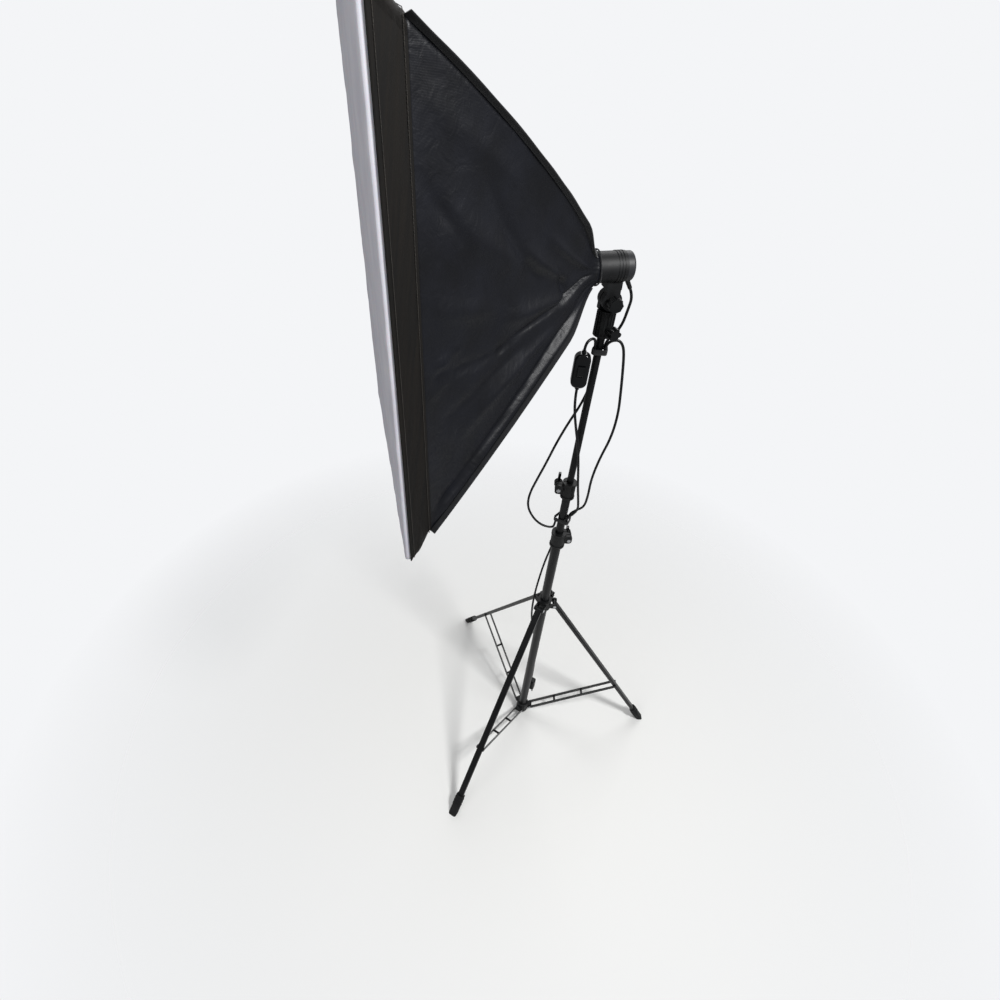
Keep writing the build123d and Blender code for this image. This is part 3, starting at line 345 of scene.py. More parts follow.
finishes = {
    "tube_paint": COAT,
    "collar_nylon": moulded("moulded_nylon", "08090A", "0F1011", 0.42, 0.56),
    "knob_abs": moulded("moulded_abs_gloss", "060708", "0C0D0E", 0.24, 0.36, 1.4),
    "zinc_steel": metal("zinc_plated_steel", "A9ABAE", "C3C5C8", 0.25, 0.4),
    "foot_rubber": moulded("moulded_rubber", "0E0E0F", "171718", 0.66, 0.8, 0.6),
    "head_abs": moulded("moulded_abs_grained", "08090A", "0E0F11", 0.5, 0.62),
    "cap_abs": moulded("moulded_abs_grey", "1C1D1F", "252629", 0.42, 0.55),
    "socket_resin": moulded("phenolic_resin", "C9C5BB", "DDD9CF", 0.4, 0.55),
    "brass": metal("stamped_brass", "A3803F", "BF9C58", 0.25, 0.38),
    "nickel_brass": metal("nickel_plated_brass", "B2B3B5", "CACBCD", 0.15, 0.28),
    "lamp_white": moulded("moulded_white_pbt", "E4E4E0", "F0F0EC", 0.3, 0.42),
    "lamp_opal": moulded("opal_polycarbonate", "EDECE7", "F7F6F2", 0.35, 0.5),
    "spring_steel": metal("drawn_spring_steel", "7B7E82", "989B9F", 0.28, 0.42),
    "side_nylon": NYLON,
    "band_nylon": BAND,
    "trim_tape": TAPE,
    "hook_tape": HOOK,
    "tie_tape": HOOK,
    "diffuser_cloth": WHITE,
    "lead_pvc": PVC,
    "switch_abs": moulded("polished_abs", "08090A", "0E0F11", 0.1, 0.2, 2.0),
    "plug_pvc": moulded("moulded_pvc", "0A0B0C", "121315", 0.4, 0.55),
    "plug_brass": metal("nickel_plated_pins", "BDBDBA", "D3D3D0", 0.15, 0.28),
}
for part in frame["record"]["subparts"]:
    for holder in nodes[part["node"]].material_slots:
        holder.material = finishes[part["material_slot"]]


# ---- camera --------------------------------------------------------------------------------
CAMERA_PLACE = Vector((0.8856, -0.4347, 1.6947))
CAMERA_YAW = -72.06
CAMERA_PITCH = 41.26
CAMERA_ROLL = 6.74
SENSOR = 36.0
LENS = 21.59


def camera():
    """The standing view from the light's right, looking down."""
    data = bpy.data.cameras.new("camera")
    data.sensor_width = SENSOR
    data.lens = LENS
    thing = bpy.data.objects.new("camera", data)
    bpy.context.scene.collection.objects.link(thing)
    yaw = math.radians(CAMERA_YAW)
    pitch = math.radians(CAMERA_PITCH)
    roll = math.radians(CAMERA_ROLL)
    forward = Vector((math.sin(yaw) * math.cos(pitch), math.cos(yaw) * math.cos(pitch), -math.sin(pitch)))
    level = Vector((math.cos(yaw), -math.sin(yaw), 0))
    upright = level.cross(forward)
    side = level * math.cos(roll) + upright * math.sin(roll)
    top = -level * math.sin(roll) + upright * math.cos(roll)
    turn = Matrix((side, top, -forward)).transposed()
    thing.matrix_world = Matrix.Translation(CAMERA_PLACE) @ turn.to_4x4()
    bpy.context.scene.camera = thing


# ---- leads: smooth lines through the routes ---------------------------------------------
LEAD_D = 5 * MM
LEAD_SIDE = math.radians(72.0)
SIDE = Vector((math.cos(LEAD_SIDE), math.sin(LEAD_SIDE), 0))
NEAR = Vector((math.sin(LEAD_SIDE), -math.cos(LEAD_SIDE), 0))
TOP_LEAD_R = 11.72 * MM
MID_LEAD_R = 13.72 * MM
TOP_TIE = 1214.0
MID_TIE = 806.0
TIE_END = 1.3
TOP_R = 7 * MM
MID_R = 9 * MM
GLAND_TIP = PIVOT + UP * (15.72 * MM) - FRONT * (33.06 * MM)


def spot(side, near, height):
    """A route's point, in millimetres to the side of and in front of the stand's axis."""
    return (SIDE * side + NEAR * near) * MM + Vector((0, 0, height * MM))


def beside(radius, angle, height):
    """A point against a tube, at an angle round it."""
    turn = math.radians(angle)
    return (SIDE * math.cos(turn) + NEAR * math.sin(turn)) * radius + Vector((0, 0, height * MM))


def gland_way():
    """The way in which the lead leaves the cable gland."""
    return (UP * -20 - FRONT * 11).normalized()


ROUTES = {
    "lead_head": [GLAND_TIP, GLAND_TIP + gland_way() * 16 * MM, spot(35, -8, 1285), spot(32, -8, 1262),
                  spot(24, -9, 1243), beside(TOP_LEAD_R, -30, 1229),
                  beside(TOP_LEAD_R, -30, TOP_TIE + TIE_END)],
    "lead_right": [beside(TOP_LEAD_R, 35, TOP_TIE + TIE_END), beside(TOP_LEAD_R, 35, 1227),
                   spot(18, 10, 1238), spot(30, 10, 1240), spot(39, 9, 1230), spot(44, 8, 1213),
                   spot(49, 7, 1183), spot(55, 6, 1141), spot(61, 6, 1091), spot(59, 6, 1037),
                   spot(47, 7, 984), spot(40, 9, 932), spot(42, 8, 883), spot(40, 4, 850),
                   spot(25, -1, 833), beside(MID_LEAD_R, -10, 820),
                   beside(MID_LEAD_R, -10, MID_TIE + TIE_END)],
    "lead_left": [beside(TOP_LEAD_R, -95, TOP_TIE - TIE_END), beside(TOP_LEAD_R, -95, 1196),
                  spot(1, -15, 1174), spot(2, -16, 1138), spot(-8, -15, 1092), spot(-26, -13, 1046),
                  spot(-42, -10, 998), spot(-55, -7, 949), spot(-69, -5, 902), spot(-80, -3, 862),
                  spot(-80, -1, 828), spot(-64, 0, 798), spot(-43, 0, 779), spot(-20, 0, 775),
                  beside(MID_LEAD_R, 178, 783),
                  beside(MID_LEAD_R, 178, MID_TIE - TIE_END)],
    "lead_switch_in": [beside(TOP_LEAD_R, 135, TOP_TIE + TIE_END), beside(TOP_LEAD_R, 135, 1234),
                       spot(-17, 16, 1241), spot(-27, 24, 1234), spot(-27, 24, 1221)],
    "lead_switch_out": [spot(-27, 24, 1145), spot(-27, 24, 1130), spot(-23, 24, 1097), spot(-13, 23, 1056),
                        spot(-1, 22, 1012), spot(7, 21, 967), spot(14, 21, 921), spot(22, 19, 880),
                        spot(27, 15, 851), spot(19, 12, 832), beside(MID_LEAD_R, 50, 820),
                        beside(MID_LEAD_R, 50, MID_TIE + TIE_END)],
    "lead_lower": [beside(MID_LEAD_R, -105, MID_TIE - TIE_END), beside(MID_LEAD_R, -105, 792),
                   spot(-4, -21, 772), spot(-3, -27, 738), spot(-6, -30, 690), spot(-15, -30, 634),
                   spot(-22, -21, 580), spot(-27, -9, 528), spot(-27, -2, 474), spot(-20, -10, 420),
                   spot(-10, -22, 366),
                   spot(2, -30, 308), spot(11, -33, 248), spot(14, -32, 192), spot(15, -30, 150),
                   spot(15, -30, 118)],
}


def smooth_line(name, points):
    """A NURBS line over control points, and the points along it as Blender gives them."""
    data = bpy.data.curves.new(name, "CURVE")
    data.dimensions = "3D"
    data.resolution_u = 10
    line = data.splines.new("NURBS")
    line.points.add(len(points) - 1)
    for knot, point in zip(line.points, points):
        knot.co = (*point, 1)
    line.order_u = 3
    line.use_endpoint_u = True
    thing = bpy.data.objects.new(name, data)
    bpy.context.scene.collection.objects.link(thing)
    mesh = bpy.data.meshes.new_from_object(thing.evaluated_get(bpy.context.evaluated_depsgraph_get()))
    path = [vertex.co.copy() for vertex in mesh.vertices]
    bpy.data.meshes.remove(mesh)
    bpy.data.objects.remove(thing)
    return path


def along_path(path):
    """Each point's direction and a steady pair of cross directions."""
    frames = []
    cross = None
    for index, point in enumerate(path):
        ahead = path[min(index + 1, len(path) - 1)] - path[max(index - 1, 0)]
        ahead.normalize()
        if cross is None:
            cross = ahead.orthogonal().normalized()
        cross = (cross - ahead * cross.dot(ahead)).normalized()
        frames.append((point, ahead, cross, ahead.cross(cross)))
    return frames


def round_tube(name, path, radius, material_used, sides=12):
    """A closed round tube along a path, with a UV in metres along and around it."""
    points = []
    uvs = []
    run = 0.0
    for index, (point, _, across, other) in enumerate(along_path(path)):
        if index:
            run += (point - path[index - 1]).length
        for k in range(sides):
            turn = 2 * math.pi * k / sides
            points.append(point + across * radius * math.cos(turn) + other * radius * math.sin(turn))
            uvs.append((radius * turn, run))
    return mesh_object(name, points, tube_faces(len(path), sides), material_used, uvs)


LEAD_BODIES = {
    "lead_head": ("head", "yoke", "object"),
    "lead_right": ("top", "mid", "object"),
    "lead_left": ("top", "mid", "object"),
    "lead_switch_in": ("top", None, "object"),
    "lead_switch_out": ("top", "mid", "object"),
    "lead_lower": ("mid", "column", "plug"),
}


def leads():
    """Six stretches of one lead, each between two things that hold it."""
    for name, points in ROUTES.items():
        path = smooth_line(name, points)
        tube = round_tube(name.replace("lead", "flex"), path, LEAD_D / 2, PVC)
        upper, lower, far_end = LEAD_BODIES[name]
        if lower is None:
            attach(tube, upper)
        elif name == "lead_head":
            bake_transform(tube)
        else:
            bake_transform(tube)
        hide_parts(name)


# ---- the cloth shell -------------------------------------------------------------------------
CORNERS = ((1, -1), (1, 1), (-1, 1), (-1, -1))
ROWS = 84
COLUMNS = 64
SIDE_HOLLOW = -9 * MM            # how far the middle of a side panel is pulled in
END_HOLLOW = -12 * MM            # the same for the upper panel
LOW_SAG = 16 * MM                # how far the lower panel hangs out
RIPPLE = 3.6 * MM
NECK_WAVE = 3 * MM               # waves in the cloth where it is gathered
GATHERED = 0.2                   # share of the panel's length over which it narrows to the neck's ring
PLEATS = 26
PLEAT_DEPTH = 0.02
SIDE_LEAN = -0.628               # forward part of a side panel's outward direction
END_LEAN = -0.958


def corner_point(sign_x, sign_z, share):
    """A point of one rib's line, from the neck at 0 to the seam at 1."""
    start = Vector((sign_x * NECK_HALF, NECK_OUT, sign_z * NECK_HALF))
    end = Vector((sign_x * SEAM_X, SEAM_OUT, sign_z * SEAM_Z))
    chord = end - start
    outward = Vector((end.x, 0, end.z))
    outward = (outward - chord * (outward.dot(chord) / chord.length_squared)).normalized()
    bow = BOW_HIGH if sign_z > 0 else BOW_LOW
    return start + chord * share + outward * bow * 4 * share * (1 - share)


# One entry per fold: start and end as (share from neck, share across), half width and height.
# "across" runs from the lower to the upper corner of a side panel.
SIDE_FOLDS = [
    ((0.05, 0.52), (0.25, 0.39), 0.022, -7.0), ((0.25, 0.39), (0.62, 0.36), 0.014, -5.0),
    ((0.60, 0.36), (0.95, 0.41), 0.012, -3.4), ((0.24, 0.43), (0.60, 0.47), 0.050, 6.0),
    ((0.22, 0.40), (0.30, 0.62), 0.022, -5.0), ((0.10, 0.66), (0.38, 0.78), 0.035, 4.0),
    ((0.26, 0.58), (0.50, 0.70), 0.040, 6.0), ((0.44, 0.60), (0.72, 0.84), 0.030, -3.6),
    ((0.54, 0.66), (0.86, 0.74), 0.060, 6.0), ((0.80, 0.70), (0.99, 0.80), 0.014, -3.0),
    ((0.82, 0.455), (0.98, 0.425), 0.008, 3.4), ((0.86, 0.395), (0.98, 0.375), 0.008, 3.0),
    ((0.30, 0.24), (0.80, 0.20), 0.040, 5.0), ((0.48, 0.30), (0.90, 0.28), 0.018, -2.6),
    ((0.60, 0.90), (0.98, 0.92), 0.030, 3.0), ((0.66, 0.52), (0.92, 0.56), 0.030, 3.4),
]
END_FOLDS = [
    ((0.10, 0.40), (0.56, 0.34), 0.030, 4.2), ((0.12, 0.62), (0.60, 0.66), 0.030, 4.0),
    ((0.40, 0.50), (0.92, 0.52), 0.040, 3.2), ((0.60, 0.20), (0.98, 0.16), 0.035, 3.0),
    ((0.58, 0.80), (0.98, 0.86), 0.035, 2.8), ((0.20, 0.50), (0.50, 0.48), 0.020, -3.4),
]
FOLD_RELIEF = 1.7
CREASE = 27 * MM                 # from the lower corners to the crease where the side cloth hangs over


def crease_height(gap):
    """The hanging roll beside a lower corner and the sharp valley above it."""
    valley = math.exp(-abs(gap - CREASE) / (5 * MM)) * -6 * MM
    roll = math.exp(-((gap - CREASE * 0.45) / (9 * MM)) ** 2) * 5 * MM
    return valley + roll


def fold_height(folds, share, across):
    """Height of the folds at one place of a panel, in metres."""
    total = 0.0
    for (s0, a0), (s1, a1), half, height in folds:
        ds = s1 - s0
        da = a1 - a0
        along = ((share - s0) * ds + (across - a0) * da) / (ds * ds + da * da)
        if -0.15 < along < 1.15:
            clipped = min(1.0, max(0.0, along))
            gap = math.hypot(share - s0 - ds * clipped, across - a0 - da * clipped) / half
            fade = math.sin(math.pi * min(1.0, max(0.0, (along + 0.15) / 1.3))) ** 0.7
            total += FOLD_RELIEF * height * MM * fade / (1 + gap ** 2) ** 1.5
    return total


def shell():
    """The four cloth panels as one sheet, pulled tight over the ribs and drawn in at the neck."""
    points = []
    faces = []
    uvs = []
    for number, (first, second) in enumerate(zip(CORNERS, CORNERS[1:] + CORNERS[:1])):
        offset = len(points)
        side = first[0] == second[0]
        outward = Vector((first[0], SIDE_LEAN, 0)) if side else Vector((0, END_LEAN, first[1]))
        outward.normalize()
        low = not side and first[1] < 0
        folds = SIDE_FOLDS if side else END_FOLDS
        if side and first[1] > 0:
            folds = [((s0, 1 - a0), (s1, 1 - a1), half, height)
                     for (s0, a0), (s1, a1), half, height in folds]
        for i in range(ROWS + 1):
            share = i / ROWS
            a = corner_point(*first, share)
            b = corner_point(*second, share)
            for j in range(COLUMNS + 1):
                across = j / COLUMNS
                point = a.lerp(b, across)
                belly = 4 * across * (1 - across)
                tight = math.sin(math.pi * share) * belly
                hollow = LOW_SAG if low else SIDE_HOLLOW if side else END_HOLLOW
                lift = hollow * tight
                if side:
                    width = (a - b).length
                    low_gap = (across if first[1] < 0 else 1 - across) * width
                    lift += (crease_height(low_gap) * min(1, share * 5) * min(1, (1 - share) * 12)
                             * min(1, width / 0.2))
                gather = math.exp(-((share - GATHERED) / 0.13) ** 2)
                lift += NECK_WAVE * gather * noise.noise(Vector((across * 11, number, 0)))
                fade = belly ** 0.5 * min(1.0, (1 - share) * 14) * min(1.0, share * 9)
                lift += fold_height(folds, share, across) * fade
                ripple = noise.noise(Vector((across * 5 + 7 * number, share * 4, 3.1)))
                lift += RIPPLE * ripple * fade
                point = point + outward * lift
                draw = max(0.0, 1 - share / GATHERED) ** 2
                ring = Vector((point.x, 0, point.z))
                turn = math.atan2(point.z, point.x)
                pleat = 1 + PLEAT_DEPTH * math.sin(turn * PLEATS) * min(1.0, share * 20)
                ring_point = ring.normalized() * NECK_R * pleat
                point = Vector((point.x + (ring_point.x - point.x) * draw, point.y,
                                point.z + (ring_point.z - point.z) * draw))
                points.append(place(point.x, point.y, point.z))
                uvs.append(((across - 0.5) * (a - b).length, share * 0.45 + number))
        count = COLUMNS + 1
        faces += [tuple(offset + k for k in face) for face in grid_faces(ROWS + 1, count)]
    cloth = mesh_object("cloth_shell", points, faces, [NYLON, LINING], uvs)
    welded = bmesh.new()
    welded.from_mesh(cloth.data)
    bmesh.ops.remove_doubles(welded, verts=welded.verts, dist=0.02 * MM)
    welded.to_mesh(cloth.data)
    welded.free()
    face_outwards(cloth, place(0, 200 * MM, 0))
    thicken(cloth, CLOTH, inner_slot=1)
    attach(cloth, "head")
    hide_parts("panel_top", "panel_bottom", "panel_left", "panel_right")


SEAM_FROM = 0.03                 # share of the corner's length at which its bound seam begins
SEAM_STEPS = 40


def seam_path(sign_x, sign_z):
    """Points along a corner of the shell."""
    path = []
    for i in range(SEAM_STEPS + 1):
        share = SEAM_FROM + (1 - SEAM_FROM) * i / SEAM_STEPS
        point = corner_point(sign_x, sign_z, share)
        draw = max(0.0, 1 - share / GATHERED) ** 2
        ring = Vector((point.x, 0, point.z)).normalized()
        point.x += (ring.x * NECK_R - point.x) * draw
        point.z += (ring.z * NECK_R - point.z) * draw
        path.append(place(*point))
    return path


def bindings():
    """Bound seam along each corner, standing out from the cloth, and the draw cord at the neck."""
    tapes = [fin(seam_path(sign_x, sign_z), sign_x, sign_z) for sign_x, sign_z in CORNERS]
    neck = []
    reach = NECK_R + 0.6 * MM
    for k in range(49):
        turn = 2 * math.pi * k / 48
        out = NECK_OUT - 1.5 * MM + 1.0 * MM * math.sin(3 * turn)
        neck.append(place(reach * math.cos(turn), out, reach * math.sin(turn)))
    tapes.append(round_tube("neck_cord_part", neck, 1.3 * MM, TAPE, 10))
    return joined("edge_binding", tapes, TAPE, "head", ["edge_trim"])


FIN = 8.5 * MM                   # how far a bound seam stands out
FIN_THICK = 1.5 * MM


def fin(path, sign_x, sign_z):
    """A folded tape standing out diagonally from a corner, a little wavy, with a rounded edge."""
    section = [(-0.6, -0.7), (-0.6, 0.7), (0.25, 0.62), (0.8, 0.55), (0.96, 0.35), (1, 0), (0.96, -0.35),
               (0.8, -0.55), (0.25, -0.62)]
    points = []
    away_flat = (RIGHT * sign_x + UP * sign_z * 0.9).normalized()
    run = 0.0
    for index, (point, ahead, _, _) in enumerate(along_path(path)):
        if index:
            run += (point - path[index - 1]).length
        away = (away_flat - ahead * away_flat.dot(ahead)).normalized()
        across = ahead.cross(away)
        bend = (noise.noise(Vector((run * 22, sign_x, sign_z))) * 1.6 - 0.5 * sign_z) * MM
        width = FIN * min(1, 0.25 + run * 9)
        for reach, thick in section:
            lean = bend * max(0, reach) ** 2
            points.append(point + away * width * reach + across * (FIN_THICK * thick + lean))
    return mesh_object("tape_part", points, tube_faces(len(path), len(section)), TAPE)


def joined(name, parts, material_used, body, replaced=()):
    """Several loose parts as one piece on one body."""
    gathered = bmesh.new()
    for part in parts:
        gathered.from_mesh(part.data)
        bpy.data.objects.remove(part)
    bmesh.ops.recalc_face_normals(gathered, faces=gathered.faces)
    mesh = bpy.data.meshes.new(name)
    gathered.to_mesh(mesh)
    gathered.free()
    mesh.materials.append(material_used)
    for polygon in mesh.polygons:
        polygon.use_smooth = True
    piece = bpy.data.objects.new(name, mesh)
    bpy.context.scene.collection.objects.link(piece)
    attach(piece, body)
    if replaced:
        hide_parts(*replaced)
    return piece


# ---- the front band --------------------------------------------------------------------------
def rectangle_round(half_x, half_z, radius, straight, arc):
    """Points round a rectangle with rounded corners, and the distance walked to each."""
    outline = []
    centres = ((half_x - radius, half_z - radius, 0), (-half_x + radius, half_z - radius, 90),
               (-half_x + radius, -half_z + radius, 180), (half_x - radius, -half_z + radius, 270))
    for x, z, begin in centres:
        for k in range(arc + 1):
            turn = math.radians(begin + 90 * k / arc)
            outline.append((x + radius * math.cos(turn), z + radius * math.sin(turn)))
    filled = []
    for index, point in enumerate(outline):
        filled.append(point)
        after = outline[(index + 1) % len(outline)]
        if (index + 1) % (arc + 1) == 0:
            for k in range(1, straight):
                part = k / straight
                filled.append((point[0] + (after[0] - point[0]) * part,
                               point[1] + (after[1] - point[1]) * part))
    return filled


STRAIGHT = 90
ARC = 6
BAND_SAG = 4                     # millimetres by which the lower side of the band hangs down


def band_section(share):
    """Half the band's width and height and its place forward, from the seam at 0 to the front edge at 1."""
    return (SEAM_X + (FRONT_X - SEAM_X) * share, SEAM_Z + (FRONT_Z - SEAM_Z) * share,
            SEAM_OUT + (FRONT_OUT - SEAM_OUT) * share)


def band():
    """The flared band round the front, with small wrinkles across it and a turned-in edge."""
    profile = [(-0.06, 0.0), (0.0, 0.9), (0.04, 1.1), (0.12, 0.6)]
    profile += [(0.12 + 0.8 * k / 10, 0.6) for k in range(1, 11)]
    profile += [(0.96, 1.0), (1.0, 0.6), (1.01, -0.6), (0.98, -1.4), (0.9, -1.8), (0.7, -1.9)]
    points = []
    uvs = []
    for share, proud in profile:
        half_x, half_z, out = band_section(share)
        outline = rectangle_round(half_x, half_z, CORNER_R, STRAIGHT, ARC)
        walked = 0.0
        for index, (x, z) in enumerate(outline):
            if index:
                walked += math.dist(outline[index], outline[index - 1])
            wrinkle = noise.noise(Vector((walked * 34, share * 1.6, 0.7))) * 1.5
            wrinkle += noise.noise(Vector((walked * 11, share * 0.8, 5.2))) * 1.6
            swell = math.sin(math.pi * min(1, max(0, share)))
            sag = BAND_SAG * swell if z < -half_z + 1 * MM else 0
            lift = (proud + sag + wrinkle * swell) * MM
            away = Vector((x / half_x, 0, z / half_z))
            away = Vector((round(away.x, 6) if abs(away.x) > abs(away.z) else 0, 0,
                           away.z if abs(away.z) >= abs(away.x) else 0)).normalized()
            points.append(place(x + away.x * lift, out - 0.6 * lift, z + away.z * lift))
            uvs.append((walked, share * 50 * MM))
    count = len(points) // len(profile)
    cloth = mesh_object("front_band", points, grid_faces(len(profile), count, closed=True), BAND, uvs)
    face_outwards(cloth, place(0, 300 * MM, 0))
    thicken(cloth, 0.8 * MM)
    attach(cloth, "head")
    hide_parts("rim_band")


# ---- stitches --------------------------------------------------------------------------------
def stitch_tree():
    """Short rounded stitches at an even pitch along a curve."""
    tree = bpy.data.node_groups.new("stitches", "GeometryNodeTree")
    sockets = tree.interface
    sockets.new_socket("Geometry", in_out="INPUT", socket_type="NodeSocketGeometry")
    for label, value in (("Pitch", 4 * MM), ("Stitch length", 3 * MM), ("Thread radius", 0.45 * MM)):
        socket = sockets.new_socket(label, in_out="INPUT", socket_type="NodeSocketFloat")
        socket.default_value = value
    sockets.new_socket("Material", in_out="INPUT", socket_type="NodeSocketMaterial")
    sockets.new_socket("Geometry", in_out="OUTPUT", socket_type="NodeSocketGeometry")
    given = tree.nodes.new("NodeGroupInput")
    result = tree.nodes.new("NodeGroupOutput")
    spread = add(tree, "GeometryNodeResampleCurve", {"Curve": given.outputs["Geometry"],
                                                    "Length": given.outputs["Pitch"]}, mode="LENGTH")
    places = add(tree, "GeometryNodeCurveToPoints", {"Curve": spread.outputs["Curve"]}, mode="EVALUATED")
    grain = add(tree, "GeometryNodeMeshCylinder", {"Vertices": 6, "Radius": given.outputs["Thread radius"],
                                                  "Depth": given.outputs["Stitch length"]})
    laid = add(tree, "GeometryNodeInstanceOnPoints", {"Points": places.outputs["Points"],
                                                     "Instance": grain.outputs["Mesh"],
                                                     "Rotation": places.outputs["Rotation"]})
    real = add(tree, "GeometryNodeRealizeInstances", {"Geometry": laid.outputs["Instances"]})
    coloured = add(tree, "GeometryNodeSetMaterial", {"Geometry": real.outputs["Geometry"],
                                                    "Material": given.outputs["Material"]})
    tree.links.new(coloured.outputs["Geometry"], result.inputs["Geometry"])
    return tree


def stitch_row(name, path, tree, body):
    """One closed row of stitches along a path."""
    data = bpy.data.curves.new(name, "CURVE")
    data.dimensions = "3D"
    line = data.splines.new("POLY")
    line.points.add(len(path) - 1)
    for knot, point in zip(line.points, path):
        knot.co = (*point, 1)
    line.use_cyclic_u = True
    holder = bpy.data.objects.new(name, data)
    bpy.context.scene.collection.objects.link(holder)
    maker = holder.modifiers.new("stitches", "NODES")
    maker.node_group = tree
    for item in tree.interface.items_tree:
        if item.in_out == "INPUT" and item.name == "Material":
            maker[item.identifier] = THREAD
    piece = finished(name, holder, THREAD, body)
    return piece


LOOP_STRAIGHT = 24


def band_loop(share, proud):
    """Points round the band at one share of its depth, a little outside it."""
    half_x, half_z, out = band_section(share)
    loop = rectangle_round(half_x + proud, half_z + proud, CORNER_R, LOOP_STRAIGHT, ARC)
    return [place(x, out - 0.6 * proud, z) for x, z in loop]


def stitches():
    """A row beside the band's seam and one beside its front edge."""
    tree = stitch_tree()
    stitch_row("band_seam_stitches", band_loop(0.09, 1.5 * MM), tree, "head")
    stitch_row("band_edge_stitches", band_loop(0.86, 1.3 * MM), tree, "head")


# ---- the white front -------------------------------------------------------------------------
LIP = 8 * MM                     # how far the turned edge stands out of the band
EDGE = 4 * MM                    # width over which the edge turns
PILLOW = 3 * MM
INSET = 2.0 * MM                 # the white cloth's outline inside the band's
TURNED = ((3 * MM, 2.8 * MM), (11 * MM, 10.6 * MM))     # how far its edge goes back, and in
EDGE_STEPS = (0, 0.3, 0.8, 1.6, 2.6, 4, 7, 12)


def edge_places(half):
    """Distances across the face from -half to half, close together at both edges."""
    near = [step * MM for step in EDGE_STEPS]
    inner = half - near[-1]
    middle = [-inner + 2 * inner * k / 56 for k in range(1, 56)]
    return [-half + step for step in near] + middle + [half - step for step in reversed(near)]


def round_corner(x, z, half_x, half_z):
    """Move a point so that square corners become round ones."""
    over_x = abs(x) - (half_x - CORNER_R)
    over_z = abs(z) - (half_z - CORNER_R)
    if over_x <= 0 or over_z <= 0:
        return x, z
    pull = max(over_x, over_z) / math.hypot(over_x, over_z)
    return (math.copysign(half_x - CORNER_R + over_x * pull, x),
            math.copysign(half_z - CORNER_R + over_z * pull, z))


def diffuser():
    """White cloth pulled flat over the front: a turned edge, then a nearly flat, faintly rippled face."""
    half_x = FRONT_X - INSET
    half_z = FRONT_Z - INSET
    columns = edge_places(half_x)
    rows = edge_places(half_z)
    points = []
    uvs = []
    for z in rows:
        for x in columns:
            gap = min(half_x - abs(x), half_z - abs(z))
            turn = LIP * (1 - (1 - min(1, gap / EDGE)) ** 3) ** (1 / 3)
            u = x / half_x
            v = z / half_z
            pillow = PILLOW * (1 - u * u) * (1 - v * v)
            pull = noise.noise(Vector((x * 42, z * 42, 2.5))) * 1.5
            pucker = math.exp(-gap / (30 * MM)) * pull * min(1, gap / EDGE)
            pucker += noise.noise(Vector((u * 2.2, v * 3.1, 9))) * 1.8 * min(1, gap / (60 * MM))
            flat_x, flat_z = round_corner(x, z, half_x, half_z)
            points.append(place(flat_x, FRONT_OUT + turn + pillow + pucker * MM, flat_z))
            uvs.append((x, z))
    cloth = mesh_object("white_front", points, grid_faces(len(rows), len(columns)), WHITE, uvs)
    work = bmesh.new()
    work.from_mesh(cloth.data)
    centre = place(0, 0, 0)
    for back, shrink in TURNED:
        rim = [edge for edge in work.edges if edge.is_boundary]
        made = bmesh.ops.extrude_edge_only(work, edges=rim)["geom"]
        for vertex in [item for item in made if isinstance(item, bmesh.types.BMVert)]:
            offset = vertex.co - centre
            x = offset.dot(RIGHT)
            z = offset.dot(UP)
            side_x = math.copysign(min(1, max(0, abs(x) - (FRONT_X - 26 * MM)) / (12 * MM)), x)
            side_z = math.copysign(min(1, max(0, abs(z) - (FRONT_Z - 26 * MM)) / (12 * MM)), z)
            vertex.co -= FRONT * back + RIGHT * side_x * shrink + UP * side_z * shrink
    bmesh.ops.recalc_face_normals(work, faces=work.faces)
    work.to_mesh(cloth.data)
    work.free()
    for polygon in cloth.data.polygons:
        polygon.use_smooth = True
    face_outwards(cloth, place(0, FRONT_OUT - 30 * MM, 0))
    thicken(cloth, 0.6 * MM)
    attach(cloth, "diffuser")
    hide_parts("front_diffuser")


# ---- hook-and-loop ties ---------------------------------------------------------------------
STRAP_STEPS = 120
STRAP_TURNS = 1.45
STRAP_SECTION = ((-1, 0), (-0.9, 0.5), (0, 0.62), (0.9, 0.5), (1, 0), (0.9, -0.5), (0, -0.5), (-0.9, -0.5))


def tie(name, node, body, tube_r, leads_r, angles):
    """A strap wound a turn and a half tightly round a tube and the leads beside it."""
    low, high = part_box(node)
    middle = (high + low) / 2
    held = [(Vector((0, 0, 0)), tube_r)]
    held += [(beside(leads_r, angle, 0), LEAD_D / 2) for angle in angles]
    points = []
    half = (high.z - low.z) / 2
    for k in range(STRAP_STEPS + 1):
        turn = 2 * math.pi * STRAP_TURNS * k / STRAP_STEPS
        away = Vector((math.cos(turn), math.sin(turn), 0))
        centre, radius = max(held, key=lambda thing: thing[0].dot(away) + thing[1])
        layer = 0.9 * MM + 1.3 * MM * k / STRAP_STEPS * STRAP_TURNS
        drift = 0.6 * MM * math.sin(turn * 0.7)
        for rise, thick in STRAP_SECTION:
            reach = radius + layer + thick * MM
            rise_by = Vector((0, 0, rise * (half - 0.8 * MM) + drift))
            points.append(centre + away * reach + rise_by + middle)
    strap = mesh_object(name + "_part", points, tube_faces(STRAP_STEPS + 1, len(STRAP_SECTION)), HOOK)
    return joined(name, [strap], HOOK, body, [node])


# ---- floor and light -------------------------------------------------------------------------
FLOOR_SOLID = 0.35               # metres from the stand's axis at which the floor begins to fade
FLOOR_GONE = 1.4
SKY_LIGHT = 0.3
SKY_SEEN = 1.0


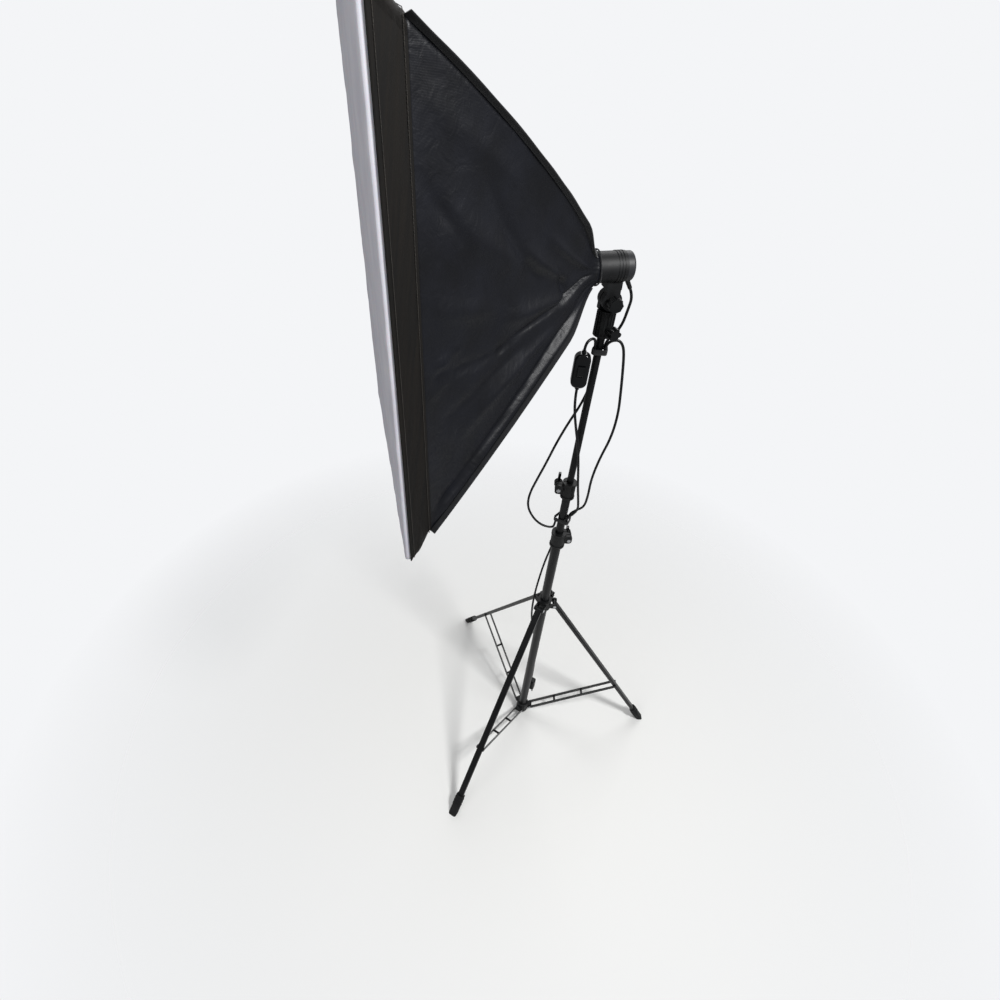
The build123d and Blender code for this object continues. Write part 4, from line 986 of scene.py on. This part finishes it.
def studio():
    """A pale floor that fades out around the stand, and soft light."""
    stone, tree, shader = material("pale_floor", Roughness=0.8)
    shader.inputs["Base Color"].default_value = linear("F1F1EF")
    away = add(tree, "ShaderNodeVectorMath", {0: place_of(tree)}, operation="LENGTH").outputs["Value"]
    fade = add(tree, "ShaderNodeMapRange", {"Value": away, "From Min": FLOOR_SOLID, "From Max": FLOOR_GONE})
    clear = add(tree, "ShaderNodeBsdfTransparent")
    mixed = add(tree, "ShaderNodeMixShader", {"Fac": fade.outputs["Result"], 1: shader.outputs["BSDF"],
                                              2: clear.outputs["BSDF"]})
    tree.links.new(mixed.outputs["Shader"], tree.nodes["Material Output"].inputs["Surface"])
    floor = mesh_object("floor", [(-6, -6, 0), (6, -6, 0), (6, 6, 0), (-6, 6, 0)], [(0, 1, 2, 3)], stone)
    world = bpy.data.worlds.new("studio")
    bpy.context.scene.world = world
    world.use_nodes = True
    sky = world.node_tree.nodes["Background"]
    sky.inputs["Color"].default_value = linear("F4F5F7")
    seen = add(world.node_tree, "ShaderNodeLightPath").outputs["Is Camera Ray"]
    level = add(world.node_tree, "ShaderNodeMapRange",
                {"Value": seen, "To Min": SKY_LIGHT, "To Max": SKY_SEEN})
    world.node_tree.links.new(level.outputs["Result"], sky.inputs["Strength"])
    bpy.context.scene.view_settings.view_transform = "Standard"
    for name, where, aim, size, power in (
            ("key", (1.15, 0.55, 2.55), (0, -0.15, 1.3), 0.45, 46),
            ("fill", (1.4, -1.9, 2.3), (0, 0, 1.0), 1.6, 14),
            ("back", (-1.6, 0.8, 2.6), (0, 0, 1.1), 1.5, 20)):
        data = bpy.data.lights.new(name, "AREA")
        data.shape = "DISK"
        data.size = size
        data.energy = power
        lamp = bpy.data.objects.new(name, data)
        bpy.context.scene.collection.objects.link(lamp)
        away = Vector(where) - Vector(aim)
        lamp.matrix_world = Matrix.Translation(where) @ away.to_track_quat("Z", "Y").to_matrix().to_4x4()


camera()
leads()
shell()
bindings()
band()
stitches()
diffuser()
tie("top_strap", "top_tie", "top", TOP_R, TOP_LEAD_R, (-30, 35, -95, 135))
tie("mid_strap", "mid_tie", "mid", MID_R, MID_LEAD_R, (-10, 178, 50, -105))
studio()
